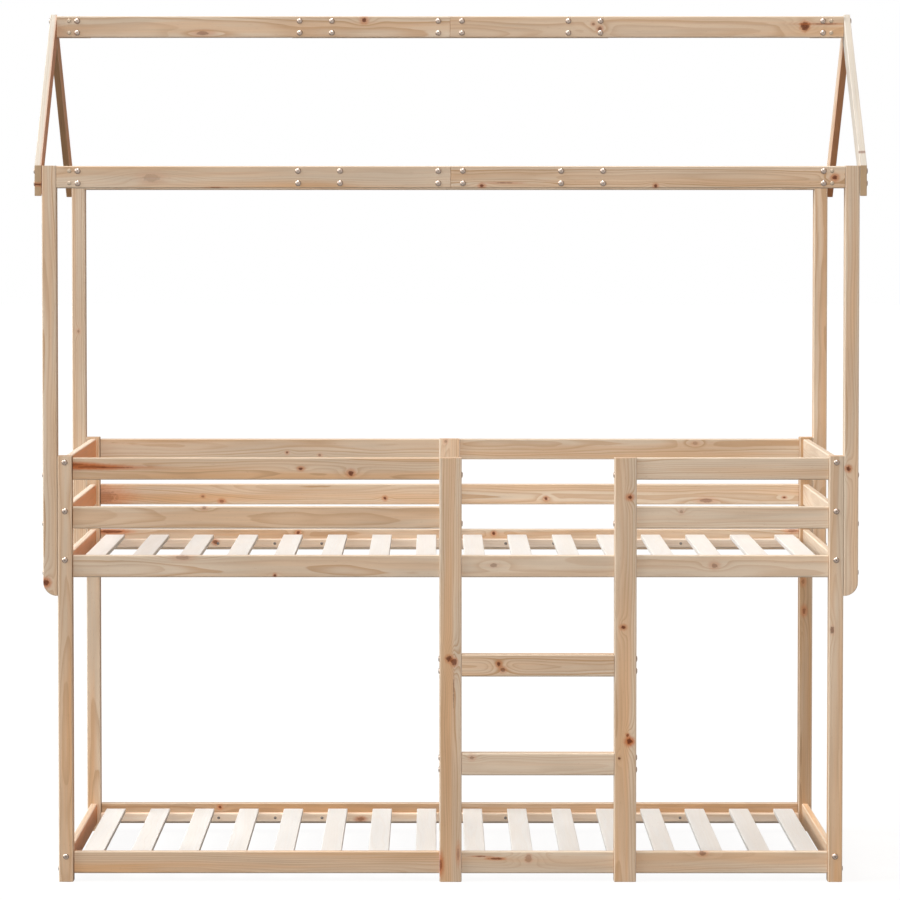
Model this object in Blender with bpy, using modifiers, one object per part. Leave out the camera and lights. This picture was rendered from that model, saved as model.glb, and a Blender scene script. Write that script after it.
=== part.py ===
"""Wooden bunk bed with a house-shaped roof frame, bolted together from planed pine.

Metres, +Z up. X runs along the bed, -Y is the side with the ladder, and the
origin is on the floor in the middle of the four corner posts.
"""
import math
from dataclasses import dataclass

import bmesh
import bpy
from mathutils import Matrix, Vector

# Mattress space, and the planed timber that everything is cut from
MATTRESS_LENGTH = 2.000
MATTRESS_WIDTH = 0.800
POST_SIDE = 0.038
BOARD_THICKNESS = 0.018
BOARD_DEPTH = 0.058
EASED_EDGE = 0.0025

# Heights of the four levels of rails
LOWER_RAIL_BOTTOM = 0.021
DECK_RISE = 0.780
GUARD_GAP = 0.070
POST_RISE = 0.005

# Ladder
LADDER_POST_WIDTH = 0.058
LADDER_GAP = 0.400
STEP_HEIGHT = 0.058
STEP_COUNT = 2

# Slats and the ledgers that carry them
SLATS_PER_HALF = 8
SLAT_WIDTH = 0.055
SLAT_THICKNESS = 0.012
SLAT_EASE = 0.0015
SLAT_CENTRE_GAP = 0.0746
SLAT_END_GAP = 0.0264
SLAT_END_PLAY = 0.001
SLAT_BEDDING = 0.0003
LEDGER_SIDE = 0.025
LEDGER_RISE = 0.007

# Roof
EAVE_HEIGHT = 1.878
ROOF_RISE = 0.414
ROOF_POST_DROP = 0.048
HEEL_RADIUS = 0.036
EAVE_RAIL_DROP = 0.001
RAFTER_TAIL_RISE = 0.001
RIDGE_DROP = 0.006
END_BLOCK_LENGTH = 0.090
EAVE_SPLICE_LENGTH = 0.840
RIDGE_SPLICE_LENGTH = 0.860

# Bolts, studs and screws, with how far they run into the board that they hold
BOLT_RADIUS = 0.003
BOLT_HEAD_RADIUS = 0.008
BOLT_HEAD_TOP_RADIUS = 0.005
BOLT_HEAD_HEIGHT = 0.003
SCREW_RADIUS = 0.002
SCREW_HEAD_RADIUS = 0.004
SCREW_HEAD_TOP_RADIUS = 0.0025
SCREW_HEAD_HEIGHT = 0.0015
GRIP = 0.012
STUD_GRIP = 0.040

# Where the fasteners sit, measured from the edges and ends of the boards
END_RAIL_BOLT_FROM_TOP = 0.012
LONG_RAIL_BOLT_FROM_BOTTOM = 0.0125
STEP_BOLT_SPACING = 0.032
ROOF_BOLT_FROM_EDGE = 0.013
BLOCK_BOLT_FROM_END = 0.056
SEAM_BOLT_OFFSET = 0.032
EAVE_INNER_BOLT_OFFSET = 0.288
RIDGE_INNER_BOLT_OFFSET = 0.3205
SPLICE_END_BOLT_INSET = 0.0225
SCREW_SHARES = {
    "left": (0.349, 0.516, 0.654),
    "middle": (0.2, 0.8),
    "right": (0.135, 0.276, 0.650),
}

# Clearances and mesh resolution
GAP = 0.0003
BORE_CLEARANCE = 0.0004
OVERRUN = 0.002
HEAD_SIDES = 8
SHANK_SIDES = 6
HEEL_SEGMENTS = 5
SHARP_ANGLE = math.radians(40)
LONG_EDGE_SHARE = 0.9

# Lines that the pieces share
POST_X = MATTRESS_LENGTH / 2 + BOARD_THICKNESS / 2
POST_Y = MATTRESS_WIDTH / 2 + BOARD_THICKNESS / 2
POST_INNER_X = POST_X - POST_SIDE / 2
POST_OUTER_X = POST_X + POST_SIDE / 2
POST_INNER_Y = POST_Y - POST_SIDE / 2
POST_OUTER_Y = POST_Y + POST_SIDE / 2
RAIL_INNER_Y = MATTRESS_WIDTH / 2

UPPER_RAIL_BOTTOM = LOWER_RAIL_BOTTOM + DECK_RISE
GUARD_PITCH = BOARD_DEPTH + GUARD_GAP
LEVELS = {
    "lower": LOWER_RAIL_BOTTOM,
    "upper": UPPER_RAIL_BOTTOM,
    "guard": UPPER_RAIL_BOTTOM + GUARD_PITCH,
    "top": UPPER_RAIL_BOTTOM + 2 * GUARD_PITCH,
}
DECK_LEVELS = ("lower", "upper")
GUARD_LEVELS = ("guard", "top")
LADDER_TOP = LEVELS["top"] + BOARD_DEPTH
POST_TOP = LADDER_TOP + POST_RISE

LADDER_HALF = LADDER_POST_WIDTH / 2
LADDER_RIGHT_X = LADDER_POST_WIDTH + LADDER_GAP
FRONT_BAYS = {
    "left": (-POST_INNER_X, -LADDER_HALF),
    "middle": (LADDER_HALF, LADDER_RIGHT_X - LADDER_HALF),
    "right": (LADDER_RIGHT_X + LADDER_HALF, POST_INNER_X),
}
REAR_BAYS = {
    "left": (-POST_INNER_X, -LADDER_HALF),
    "right": (LADDER_HALF, POST_INNER_X),
}

ROOF_POST_INNER_X = POST_OUTER_X + GAP
ROOF_POST_OUTER_X = ROOF_POST_INNER_X + POST_SIDE
RAFTER_INNER_X = ROOF_POST_OUTER_X + GAP
RAFTER_OUTER_X = RAFTER_INNER_X + BOARD_THICKNESS
EAVE_END_X = ROOF_POST_INNER_X - GAP
RIDGE_END_X = RAFTER_INNER_X - GAP
EAVE_TOP = EAVE_HEIGHT - EAVE_RAIL_DROP
EAVE_BOTTOM = EAVE_TOP - BOARD_DEPTH
EAVE_BACK_Y = POST_OUTER_Y - BOARD_THICKNESS
RAFTER_TAIL_Z = EAVE_HEIGHT + RAFTER_TAIL_RISE
PEAK_Z = RAFTER_TAIL_Z + ROOF_RISE
ROOF_SLOPE = ROOF_RISE / POST_OUTER_Y
PLUMB_DEPTH = BOARD_DEPTH * math.hypot(1, ROOF_SLOPE)
RIDGE_TOP = PEAK_Z - RIDGE_DROP
RIDGE_BOTTOM = RIDGE_TOP - BOARD_DEPTH
EAVE_BOLT_ROWS = (EAVE_BOTTOM + ROOF_BOLT_FROM_EDGE, EAVE_TOP - ROOF_BOLT_FROM_EDGE)
RIDGE_BOLT_ROWS = (RIDGE_BOTTOM + ROOF_BOLT_FROM_EDGE, RIDGE_TOP - ROOF_BOLT_FROM_EDGE)

SIDES = {"left": -1, "right": 1}
FACES = {"front": -1, "rear": 1}

# Colour and roughness of the two kinds of timber
PINE = ((0.58, 0.40, 0.24), 0.55)
PALE_PINE = ((0.72, 0.60, 0.45), 0.60)


@dataclass
class Head:
    """A domed head, and how far its underside is from the face it seats on."""
    radius: float
    top_radius: float
    height: float
    lift: float


# A head stands clear of another board, and is bedded in the board it is one piece with
BOLT_HEAD = Head(BOLT_HEAD_RADIUS, BOLT_HEAD_TOP_RADIUS, BOLT_HEAD_HEIGHT, GAP)
BEDDED_BOLT_HEAD = Head(BOLT_HEAD_RADIUS, BOLT_HEAD_TOP_RADIUS, BOLT_HEAD_HEIGHT, -GAP)
SCREW_HEAD = Head(SCREW_HEAD_RADIUS, SCREW_HEAD_TOP_RADIUS, SCREW_HEAD_HEIGHT, -GAP)


@dataclass
class Fastener:
    """A bolt, stud or screw, made in one piece with the board that it is driven into."""
    owner: str
    seat: Vector
    direction: Vector
    length: float
    radius: float = BOLT_RADIUS
    head: Head = None

    def matrix(self):
        """Local +Z comes out of the head, and the shank runs down -Z."""
        turn = (-self.direction).to_track_quat("Z", "Y")
        return Matrix.LocRotScale(self.seat, turn, None)

    def crosses(self, low, high):
        """True where the shank meets the box from low to high."""
        tip = self.seat + self.direction * self.length
        for axis in range(3):
            nearest = min(self.seat[axis], tip[axis]) - self.radius
            furthest = max(self.seat[axis], tip[axis]) + self.radius
            if furthest < low[axis] or nearest > high[axis]:
                return False
        return True


def clear_scene():
    for item in list(bpy.data.objects):
        bpy.data.objects.remove(item, do_unlink=True)


def new_collection(name):
    group = bpy.data.collections.new(name)
    bpy.context.scene.collection.children.link(group)
    return group


clear_scene()
PARTS = new_collection("wooden_bunk_bed")
CUTTERS = new_collection("cutters")
BED = bpy.data.objects.new("wooden_bunk_bed_origin", None)
PARTS.objects.link(BED)

boards = {}
fasteners = []


def finish(piece, look):
    """Give a piece its own material in the look of its kind."""
    colour, roughness = look
    material = bpy.data.materials.new(piece.name + "_finish")
    material.use_nodes = True
    shader = material.node_tree.nodes["Principled BSDF"]
    shader.inputs["Base Color"].default_value = (*colour, 1.0)
    shader.inputs["Roughness"].default_value = roughness
    piece.data.materials.append(material)


def place(shape, name, centre, look):
    """Turn a bmesh modelled about its own centre into a named piece of the bed."""
    mesh = bpy.data.meshes.new(name)
    shape.to_mesh(mesh)
    shape.free()
    piece = bpy.data.objects.new(name, mesh)
    piece.location = centre
    piece.parent = BED
    PARTS.objects.link(piece)
    finish(piece, look)
    return piece


def span(centre, size):
    return centre - size / 2, centre + size / 2


def box(x, y, z):
    """Lowest and highest corners from three ranges, each given either way round."""
    ranges = [sorted(pair) for pair in (x, y, z)]
    return Vector(low for low, _ in ranges), Vector(high for _, high in ranges)


def add_box(shape, low, high):
    matrix = Matrix.LocRotScale((low + high) / 2, None, high - low)
    bmesh.ops.create_cube(shape, size=1, matrix=matrix)


def mark_long_edges(shape):
    """Weight the edges that run along the grain, which are the ones that get eased."""
    weights = shape.edges.layers.float.new("bevel_weight_edge")
    longest = max(edge.calc_length() for edge in shape.edges)
    for edge in shape.edges:
        if edge.calc_length() > longest * LONG_EDGE_SHARE:
            edge[weights] = 1.0


def ease(piece, limit, width=EASED_EDGE):
    bevel = piece.modifiers.new("eased edges", "BEVEL")
    bevel.width = width
    bevel.segments = 1
    bevel.limit_method = limit
    bevel.angle_limit = SHARP_ANGLE


def add_board(name, solid, eased="WEIGHT"):
    """A straight board that fills a box, eased along the grain or all round."""
    low, high = solid
    centre = (low + high) / 2
    shape = bmesh.new()
    add_box(shape, low - centre, high - centre)
    mark_long_edges(shape)
    piece = place(shape, name, centre, PINE)
    if eased:
        ease(piece, eased)
    boards[name] = (piece, solid)
    return piece


def add_tool(name, shape):
    """A hidden object for a Boolean to join or cut with."""
    mesh = bpy.data.meshes.new(name)
    shape.to_mesh(mesh)
    shape.free()
    tool = bpy.data.objects.new(name, mesh)
    tool.hide_render = True
    tool.display_type = "WIRE"
    CUTTERS.objects.link(tool)
    return tool


def combine(piece, label, operation, tool):
    boolean = piece.modifiers.new(label, "BOOLEAN")
    boolean.operation = operation
    boolean.solver = "EXACT"
    boolean.object = tool


# Posts


def add_corner_posts():
    for face, sign_y in FACES.items():
        for side, sign_x in SIDES.items():
            post = box(span(sign_x * POST_X, POST_SIDE), span(sign_y * POST_Y, POST_SIDE), (0, POST_TOP))
            add_board(f"corner_post_{face}_{side}", post, eased="ANGLE")


def add_middle_posts():
    for name, x, sign_y in (
        ("ladder_post_left", 0, FACES["front"]),
        ("ladder_post_right", LADDER_RIGHT_X, FACES["front"]),
        ("rear_centre_post", 0, FACES["rear"]),
    ):
        post = box(span(x, LADDER_POST_WIDTH), span(sign_y * POST_Y, POST_SIDE), (0, LADDER_TOP))
        add_board(name, post, eased="ANGLE")


# Rails


def long_rail(bay, sign_y, bottom):
    """A rail along the bed, centred in the depth of the posts at its ends."""
    start, end = bay
    return box(
        (start + GAP, end - GAP),
        span(sign_y * POST_Y, BOARD_THICKNESS),
        (bottom, bottom + BOARD_DEPTH),
    )


def add_long_rails():
    for level, bottom in LEVELS.items():
        for side, bay in FRONT_BAYS.items():
            if side == "middle" and level in GUARD_LEVELS:
                continue
            add_board(f"front_{level}_rail_{side}", long_rail(bay, FACES["front"], bottom))
        for side, bay in REAR_BAYS.items():
            add_board(f"rear_{level}_rail_{side}", long_rail(bay, FACES["rear"], bottom))


def add_end_rails():
    reach = POST_INNER_Y - GAP
    for side, sign_x in SIDES.items():
        across = span(sign_x * POST_X, BOARD_THICKNESS)
        for level, bottom in LEVELS.items():
            add_board(f"{side}_{level}_end_rail", box(across, (-reach, reach), (bottom, bottom + BOARD_DEPTH)))


# Ladder


def step_middles():
    """Heights of the step centres: their tops divide the rise between the side rails evenly."""
    lowest_top = LOWER_RAIL_BOTTOM + BOARD_DEPTH
    rise = DECK_RISE / (STEP_COUNT + 1)
    return [lowest_top + rise * (index + 1) - STEP_HEIGHT / 2 for index in range(STEP_COUNT)]


def add_ladder_steps():
    start, end = FRONT_BAYS["middle"]
    for index, height in enumerate(step_middles()):
        step = box((start + GAP, end - GAP), span(-POST_Y, POST_SIDE), span(height, STEP_HEIGHT))
        add_board(f"ladder_step_{index + 1}", step)


# Slat decks


def slat_middles():
    """X of the slat centres: the same row on either side of the middle."""
    first = SLAT_CENTRE_GAP / 2 + SLAT_WIDTH / 2
    last = MATTRESS_LENGTH / 2 - SLAT_END_GAP - SLAT_WIDTH / 2
    pitch = (last - first) / (SLATS_PER_HALF - 1)
    half = [first + pitch * index for index in range(SLATS_PER_HALF)]
    return [-x for x in reversed(half)] + half


def ledger_runs(side):
    """Each ledger of one half of a deck: the face it is on, its bay's name, start and end."""
    return [
        (sign_y, bay, start, end)
        for sign_y, bays in ((FACES["front"], FRONT_BAYS), (FACES["rear"], REAR_BAYS))
        for bay, (start, end) in bays.items()
        if (start + end) * SIDES[side] > 0
    ]


def ledger_boxes(side):
    """Ledgers measured from their own underside, one for each rail of this half."""
    inner, outer = RAIL_INNER_Y - LEDGER_SIDE, RAIL_INNER_Y - GAP
    return [
        box((start + GAP, end - GAP), (sign_y * inner, sign_y * outer), (0, LEDGER_SIDE))
        for sign_y, _, start, end in ledger_runs(side)
    ]


def slat_boxes(side):
    """Half of the row of slats, bedded in the tops of the ledgers."""
    reach = POST_INNER_Y - SLAT_END_PLAY
    bottom = LEDGER_SIDE - SLAT_BEDDING
    return [
        box(span(x, SLAT_WIDTH), (-reach, reach), (bottom, bottom + SLAT_THICKNESS))
        for x in slat_middles()
        if x * SIDES[side] > 0
    ]


def add_slat_decks():
    """Half a deck is one piece: its ledgers, joined by the slats glued on them."""
    for level in DECK_LEVELS:
        foot = Vector((0, 0, LEVELS[level] + LEDGER_RISE))
        for side in SIDES:
            ledgers, slats = bmesh.new(), bmesh.new()
            for low, high in ledger_boxes(side):
                add_box(ledgers, low, high)
            for low, high in slat_boxes(side):
                add_box(slats, low, high)
            name = f"{level}_slat_deck_{side}"
            deck = place(ledgers, name, foot, PALE_PINE)
            ease(deck, "ANGLE", SLAT_EASE)
            mark_long_edges(slats)
            row = add_tool(f"{name}_slats", slats)
            row.location = foot
            ease(row, "WEIGHT", SLAT_EASE)
            combine(deck, "slats", "UNION", row)
            boards[name] = (deck, None)


# Roof


def add_roof_posts():
    """Tall posts on the outer faces of the corner posts, with a rounded heel."""
    bottom = UPPER_RAIL_BOTTOM - ROOF_POST_DROP
    for face, sign_y in FACES.items():
        for side, sign_x in SIDES.items():
            post = box(
                (sign_x * ROOF_POST_INNER_X, sign_x * ROOF_POST_OUTER_X),
                span(sign_y * POST_Y, POST_SIDE),
                (bottom, EAVE_HEIGHT),
            )
            piece = add_board(f"roof_post_{face}_{side}", post, eased=None)
            heel = piece.vertex_groups.new(name="heel")
            corners = [v.index for v in piece.data.vertices if v.co.z < 0 and v.co.x * sign_x > 0]
            heel.add(corners, 1.0, "REPLACE")
            rounding = piece.modifiers.new("rounded heel", "BEVEL")
            rounding.width = min(HEEL_RADIUS, POST_SIDE - EASED_EDGE)
            rounding.segments = HEEL_SEGMENTS
            rounding.limit_method = "VGROUP"
            rounding.vertex_group = heel.name
            ease(piece, "ANGLE")


def add_rafters():
    """Boards on edge outside the roof posts, cut plumb at the eave and at the peak."""
    run = POST_OUTER_Y - GAP / 2
    for face, sign_y in FACES.items():
        for side, sign_x in SIDES.items():
            x = sign_x * (RAFTER_INNER_X + RAFTER_OUTER_X) / 2
            y = sign_y * (POST_OUTER_Y + GAP / 2) / 2
            z = PEAK_Z - ROOF_SLOPE * abs(y) - PLUMB_DEPTH / 2
            shape = bmesh.new()
            size = Vector((BOARD_THICKNESS, run, PLUMB_DEPTH))
            bmesh.ops.create_cube(shape, size=1, matrix=Matrix.LocRotScale(None, None, size))
            for vert in shape.verts:
                vert.co.z -= sign_y * ROOF_SLOPE * vert.co.y
            mark_long_edges(shape)
            piece = place(shape, f"rafter_{face}_{side}", Vector((x, y, z)), PINE)
            ease(piece, "WEIGHT")
            cover = box(
                span(x, BOARD_THICKNESS),
                (0, sign_y * POST_OUTER_Y),
                (RAFTER_TAIL_Z - PLUMB_DEPTH, PEAK_Z),
            )
            boards[piece.name] = (piece, cover)


def add_ridge():
    """Two halves, each with a block glued behind its end, and a splice board behind the seam."""
    height = (RIDGE_BOTTOM, RIDGE_TOP)
    back = GAP + BOARD_THICKNESS
    for side, sign_x in SIDES.items():
        end = sign_x * RIDGE_END_X
        name = f"ridge_board_{side}"
        half = add_board(name, box((sign_x * GAP / 2, end), (-BOARD_THICKNESS, 0), height))
        shape = bmesh.new()
        add_box(shape, *box((end - sign_x * END_BLOCK_LENGTH, end), (-EASED_EDGE, back), height))
        mark_long_edges(shape)
        block = add_tool(f"{name}_block", shape)
        ease(block, "WEIGHT")
        combine(half, "end block", "UNION", block)
    add_board("ridge_splice", box(span(0, RIDGE_SPLICE_LENGTH), (GAP, back), height))


def add_eaves():
    """An eave rail in two halves on each side, with a splice board and end blocks behind it."""
    height = (EAVE_BOTTOM, EAVE_TOP)
    back = EAVE_BACK_Y - GAP
    for face, sign_y in FACES.items():
        rail_depth = (sign_y * EAVE_BACK_Y, sign_y * POST_OUTER_Y)
        block_depth = (sign_y * back, sign_y * POST_INNER_Y)
        splice_depth = (sign_y * back, sign_y * (back - BOARD_THICKNESS))
        for side, sign_x in SIDES.items():
            end = sign_x * EAVE_END_X
            block_start = end - sign_x * END_BLOCK_LENGTH
            add_board(f"eave_rail_{face}_{side}", box((sign_x * GAP / 2, end), rail_depth, height))
            add_board(f"eave_block_{face}_{side}", box((block_start, end), block_depth, height))
        add_board(f"eave_splice_{face}", box(span(0, EAVE_SPLICE_LENGTH), splice_depth, height))


# Fasteners


def along_x(sign):
    return Vector((sign, 0, 0))


def along_y(sign):
    return Vector((0, sign, 0))


def add_bolt(owner, seat, direction, through, head=BOLT_HEAD):
    """A headed bolt through other boards into the end or back of its own."""
    fasteners.append(Fastener(owner, Vector(seat), direction, through + GRIP, head=head))


def lay_out_post_bolts():
    """Through each corner post: one bolt into the end rail, one into the long rail."""
    for side, sign_x in SIDES.items():
        for face, sign_y in FACES.items():
            for level, bottom in LEVELS.items():
                height = bottom + BOARD_DEPTH - END_RAIL_BOLT_FROM_TOP
                seat = (sign_x * POST_X, sign_y * POST_OUTER_Y, height)
                add_bolt(f"{side}_{level}_end_rail", seat, along_y(-sign_y), POST_SIDE)
                outer = POST_OUTER_X if level == "lower" else ROOF_POST_OUTER_X
                seat = (sign_x * outer, sign_y * POST_Y, bottom + LONG_RAIL_BOLT_FROM_BOTTOM)
                add_bolt(f"{face}_{level}_rail_{side}", seat, along_x(-sign_x), outer - POST_INNER_X)


def lay_out_ladder_bolts():
    """Into the guard rails from the climbing gap, and into the steps from outside it."""
    gap_start, gap_end = FRONT_BAYS["middle"]
    outer_start, outer_end = FRONT_BAYS["left"][1], FRONT_BAYS["right"][0]
    for level in GUARD_LEVELS:
        height = LEVELS[level] + LONG_RAIL_BOLT_FROM_BOTTOM
        for side, x in (("left", gap_start), ("right", gap_end)):
            seat = (x, -POST_Y, height)
            add_bolt(f"front_{level}_rail_{side}", seat, along_x(SIDES[side]), LADDER_POST_WIDTH)
    for index, middle in enumerate(step_middles()):
        for height in span(middle, STEP_BOLT_SPACING):
            for x, direction in ((outer_start, 1), (outer_end, -1)):
                seat = (x, -POST_Y, height)
                add_bolt(f"ladder_step_{index + 1}", seat, along_x(direction), LADDER_POST_WIDTH)


def lay_out_studs():
    """Headless studs where rails meet a post from both sides."""
    joints = [(f"front_{level}_rail_left", 0, -POST_Y, level) for level in DECK_LEVELS]
    joints += [(f"front_{level}_rail_middle", LADDER_RIGHT_X, -POST_Y, level) for level in DECK_LEVELS]
    joints += [(f"rear_{level}_rail_left", 0, POST_Y, level) for level in LEVELS]
    for owner, x, y, level in joints:
        start = Vector((x - LADDER_HALF - GRIP, y, LEVELS[level] + LONG_RAIL_BOLT_FROM_BOTTOM))
        fasteners.append(Fastener(owner, start, along_x(1), GRIP + LADDER_POST_WIDTH + STUD_GRIP))


def lay_out_ledger_screws():
    length = LEDGER_SIDE + GRIP
    for level in DECK_LEVELS:
        height = LEVELS[level] + LEDGER_RISE + LEDGER_SIDE / 2
        for side in SIDES:
            owner = f"{level}_slat_deck_{side}"
            for sign_y, bay, start, end in ledger_runs(side):
                y = sign_y * (RAIL_INNER_Y - LEDGER_SIDE)
                for share in SCREW_SHARES[bay]:
                    seat = Vector((start + share * (end - start), y, height))
                    fasteners.append(Fastener(owner, seat, along_y(sign_y), length, SCREW_RADIUS, SCREW_HEAD))


def lay_out_gable_bolts():
    """Long bolts from outside each rafter into the ends of the eave rails and of the ridge."""
    for side, sign_x in SIDES.items():
        for face, sign_y in FACES.items():
            eave_y = sign_y * (POST_OUTER_Y + EAVE_BACK_Y) / 2
            for height in EAVE_BOLT_ROWS:
                seat = (sign_x * RAFTER_OUTER_X, eave_y, height)
                add_bolt(f"eave_rail_{face}_{side}", seat, along_x(-sign_x), RAFTER_OUTER_X - EAVE_END_X)
        for ridge_y in (-BOARD_THICKNESS / 2, GAP + BOARD_THICKNESS / 2):
            for height in RIDGE_BOLT_ROWS:
                seat = (sign_x * RAFTER_OUTER_X, ridge_y, height)
                add_bolt(f"ridge_board_{side}", seat, along_x(-sign_x), RAFTER_OUTER_X - RIDGE_END_X)


def lay_out_splice_bolts(owner, inner, splice_length, rows, face_y):
    """Six short bolts in each row, through a beam into the splice board behind it."""
    inward = along_y(1 if face_y < 0 else -1)
    for sign_x in SIDES.values():
        for offset in (SEAM_BOLT_OFFSET, inner, splice_length / 2 - SPLICE_END_BOLT_INSET):
            for height in rows:
                add_bolt(owner, (sign_x * offset, face_y, height), inward, BOARD_THICKNESS)


def lay_out_block_bolts(owner, x, rows, face_y, head=BOLT_HEAD):
    """One short bolt in each row, through the end of a beam into its block."""
    inward = along_y(1 if face_y < 0 else -1)
    for height in rows:
        add_bolt(owner, (x, face_y, height), inward, BOARD_THICKNESS, head)


def lay_out_beam_bolts():
    lay_out_splice_bolts(
        "ridge_splice", RIDGE_INNER_BOLT_OFFSET, RIDGE_SPLICE_LENGTH, RIDGE_BOLT_ROWS, -BOARD_THICKNESS
    )
    for side, sign_x in SIDES.items():
        x = sign_x * (RIDGE_END_X - BLOCK_BOLT_FROM_END)
        lay_out_block_bolts(f"ridge_board_{side}", x, RIDGE_BOLT_ROWS, -BOARD_THICKNESS, BEDDED_BOLT_HEAD)
    for face, sign_y in FACES.items():
        face_y = sign_y * POST_OUTER_Y
        lay_out_splice_bolts(
            f"eave_splice_{face}", EAVE_INNER_BOLT_OFFSET, EAVE_SPLICE_LENGTH, EAVE_BOLT_ROWS, face_y
        )
        for side, sign_x in SIDES.items():
            x = sign_x * (EAVE_END_X - BLOCK_BOLT_FROM_END)
            lay_out_block_bolts(f"eave_block_{face}_{side}", x, EAVE_BOLT_ROWS, face_y)


def add_cylinder(shape, sides, radius, bottom, top, matrix, top_radius=None):
    """A closed prism or frustum from bottom to top along its local Z."""
    shift = Matrix.Translation((0, 0, (bottom + top) / 2))
    bmesh.ops.create_cone(
        shape,
        cap_ends=True,
        segments=sides,
        radius1=radius,
        radius2=top_radius or radius,
        depth=top - bottom,
        matrix=matrix @ shift,
    )


def shank_top(item):
    """A shank ends halfway up its head; a stud ends where it starts."""
    return item.head.lift + item.head.height / 2 if item.head else 0


def join_fasteners(name, piece):
    """Make a board one piece with the fasteners that are driven into it."""
    own = [item for item in fasteners if item.owner == name]
    if not own:
        return
    shanks, heads = bmesh.new(), bmesh.new()
    for item in own:
        add_cylinder(shanks, SHANK_SIDES, item.radius, -item.length, shank_top(item), item.matrix())
        head = item.head
        if head:
            top = head.lift + head.height
            add_cylinder(heads, HEAD_SIDES, head.radius, head.lift, top, item.matrix(), head.top_radius)
    combine(piece, "shanks", "UNION", add_tool(f"{name}_shanks", shanks))
    if heads.verts:
        combine(piece, "heads", "UNION", add_tool(f"{name}_heads", heads))


def bore(name, piece, solid):
    """Drill a board for the shanks that cross it on their way to another."""
    crossing = [item for item in fasteners if item.owner != name and item.crosses(*solid)]
    if not crossing:
        return
    bores = bmesh.new()
    for item in crossing:
        top = OVERRUN if item.head else BORE_CLEARANCE
        bottom = -item.length - BORE_CLEARANCE
        add_cylinder(bores, SHANK_SIDES, item.radius + BORE_CLEARANCE, bottom, top, item.matrix())
    combine(piece, "bores", "DIFFERENCE", add_tool(f"{name}_bores", bores))


add_corner_posts()
add_middle_posts()
add_long_rails()
add_end_rails()
add_ladder_steps()
add_slat_decks()
add_roof_posts()
add_rafters()
add_ridge()
add_eaves()

lay_out_post_bolts()
lay_out_ladder_bolts()
lay_out_studs()
lay_out_ledger_screws()
lay_out_gable_bolts()
lay_out_beam_bolts()
for board_name, (board, solid) in boards.items():
    join_fasteners(board_name, board)
    if solid:
        bore(board_name, board, solid)
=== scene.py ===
# %% [markdown]
# # A wooden bunk bed with a house roof
#
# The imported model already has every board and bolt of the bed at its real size.
# This lesson dresses it for a picture: each board is sawn again with softly
# rounded edges, gets the grain of its own place in a tree trunk, and the bolts
# get real heads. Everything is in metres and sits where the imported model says.

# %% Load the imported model
import math
import random
from dataclasses import dataclass

import bmesh
import bpy
from mathutils import Matrix, Vector


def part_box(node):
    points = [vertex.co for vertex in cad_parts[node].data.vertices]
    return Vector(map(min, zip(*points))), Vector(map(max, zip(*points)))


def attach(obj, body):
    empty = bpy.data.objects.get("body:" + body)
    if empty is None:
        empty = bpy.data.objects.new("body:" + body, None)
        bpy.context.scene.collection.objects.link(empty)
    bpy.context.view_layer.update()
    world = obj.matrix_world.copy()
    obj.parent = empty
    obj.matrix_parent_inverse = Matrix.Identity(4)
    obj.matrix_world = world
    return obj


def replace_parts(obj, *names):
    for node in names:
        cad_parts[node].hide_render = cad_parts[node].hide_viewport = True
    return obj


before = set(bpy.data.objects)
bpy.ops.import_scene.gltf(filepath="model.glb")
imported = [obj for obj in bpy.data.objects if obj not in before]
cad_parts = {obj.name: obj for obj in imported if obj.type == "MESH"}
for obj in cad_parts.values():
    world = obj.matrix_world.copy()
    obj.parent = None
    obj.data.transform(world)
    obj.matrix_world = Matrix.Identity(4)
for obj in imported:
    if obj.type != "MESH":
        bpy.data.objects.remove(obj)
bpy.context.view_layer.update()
print("packed boards:", len(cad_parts))

# %% [markdown]
# ## Camera
#
# The bed was photographed almost square on, from about ten metres away and from
# the height of the eaves. A long lens keeps the front and the back nearly the
# same size. The horizon lies above the middle of the picture, so the camera is
# tilted down a little and its frame is shifted a little: a pure tilt would make
# the posts lean, and a pure shift would spoil views from other sides.

# %% Camera
CAMERA_PLACE = (-0.0358, -10.358, 1.7618)
CAMERA_PITCH_DOWN = math.radians(2.253)
CAMERA_YAW = math.radians(0.055)
SENSOR_MM = 36
LENS_MM = 152.27
FRAME_SHIFT = (0.0186, -0.10)


def add_object(name, data):
    """Put a camera, a lamp or a mesh into the scene."""
    thing = bpy.data.objects.new(name, data)
    bpy.context.scene.collection.objects.link(thing)
    return thing


camera_data = bpy.data.cameras.new("camera")
camera_data.sensor_width = SENSOR_MM
camera_data.lens = LENS_MM
camera_data.shift_x, camera_data.shift_y = FRAME_SHIFT
camera = add_object("camera", camera_data)
camera.location = CAMERA_PLACE
camera.rotation_euler = (math.pi / 2 - CAMERA_PITCH_DOWN, 0, CAMERA_YAW)
bpy.context.scene.camera = camera
bpy.context.scene.view_settings.view_transform = "Standard"
print("camera stands", round(-CAMERA_PLACE[1], 2), "m in front of the bed's middle")

# %% [markdown]
# ## Nodes in one line
#
# A material is a graph. Written out in full, every node takes a handful of
# lines, which hides what the graph does. A small class that adds a node, sets
# its inputs and hands back its result keeps the recipes below as short as a
# list of steps.

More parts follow.
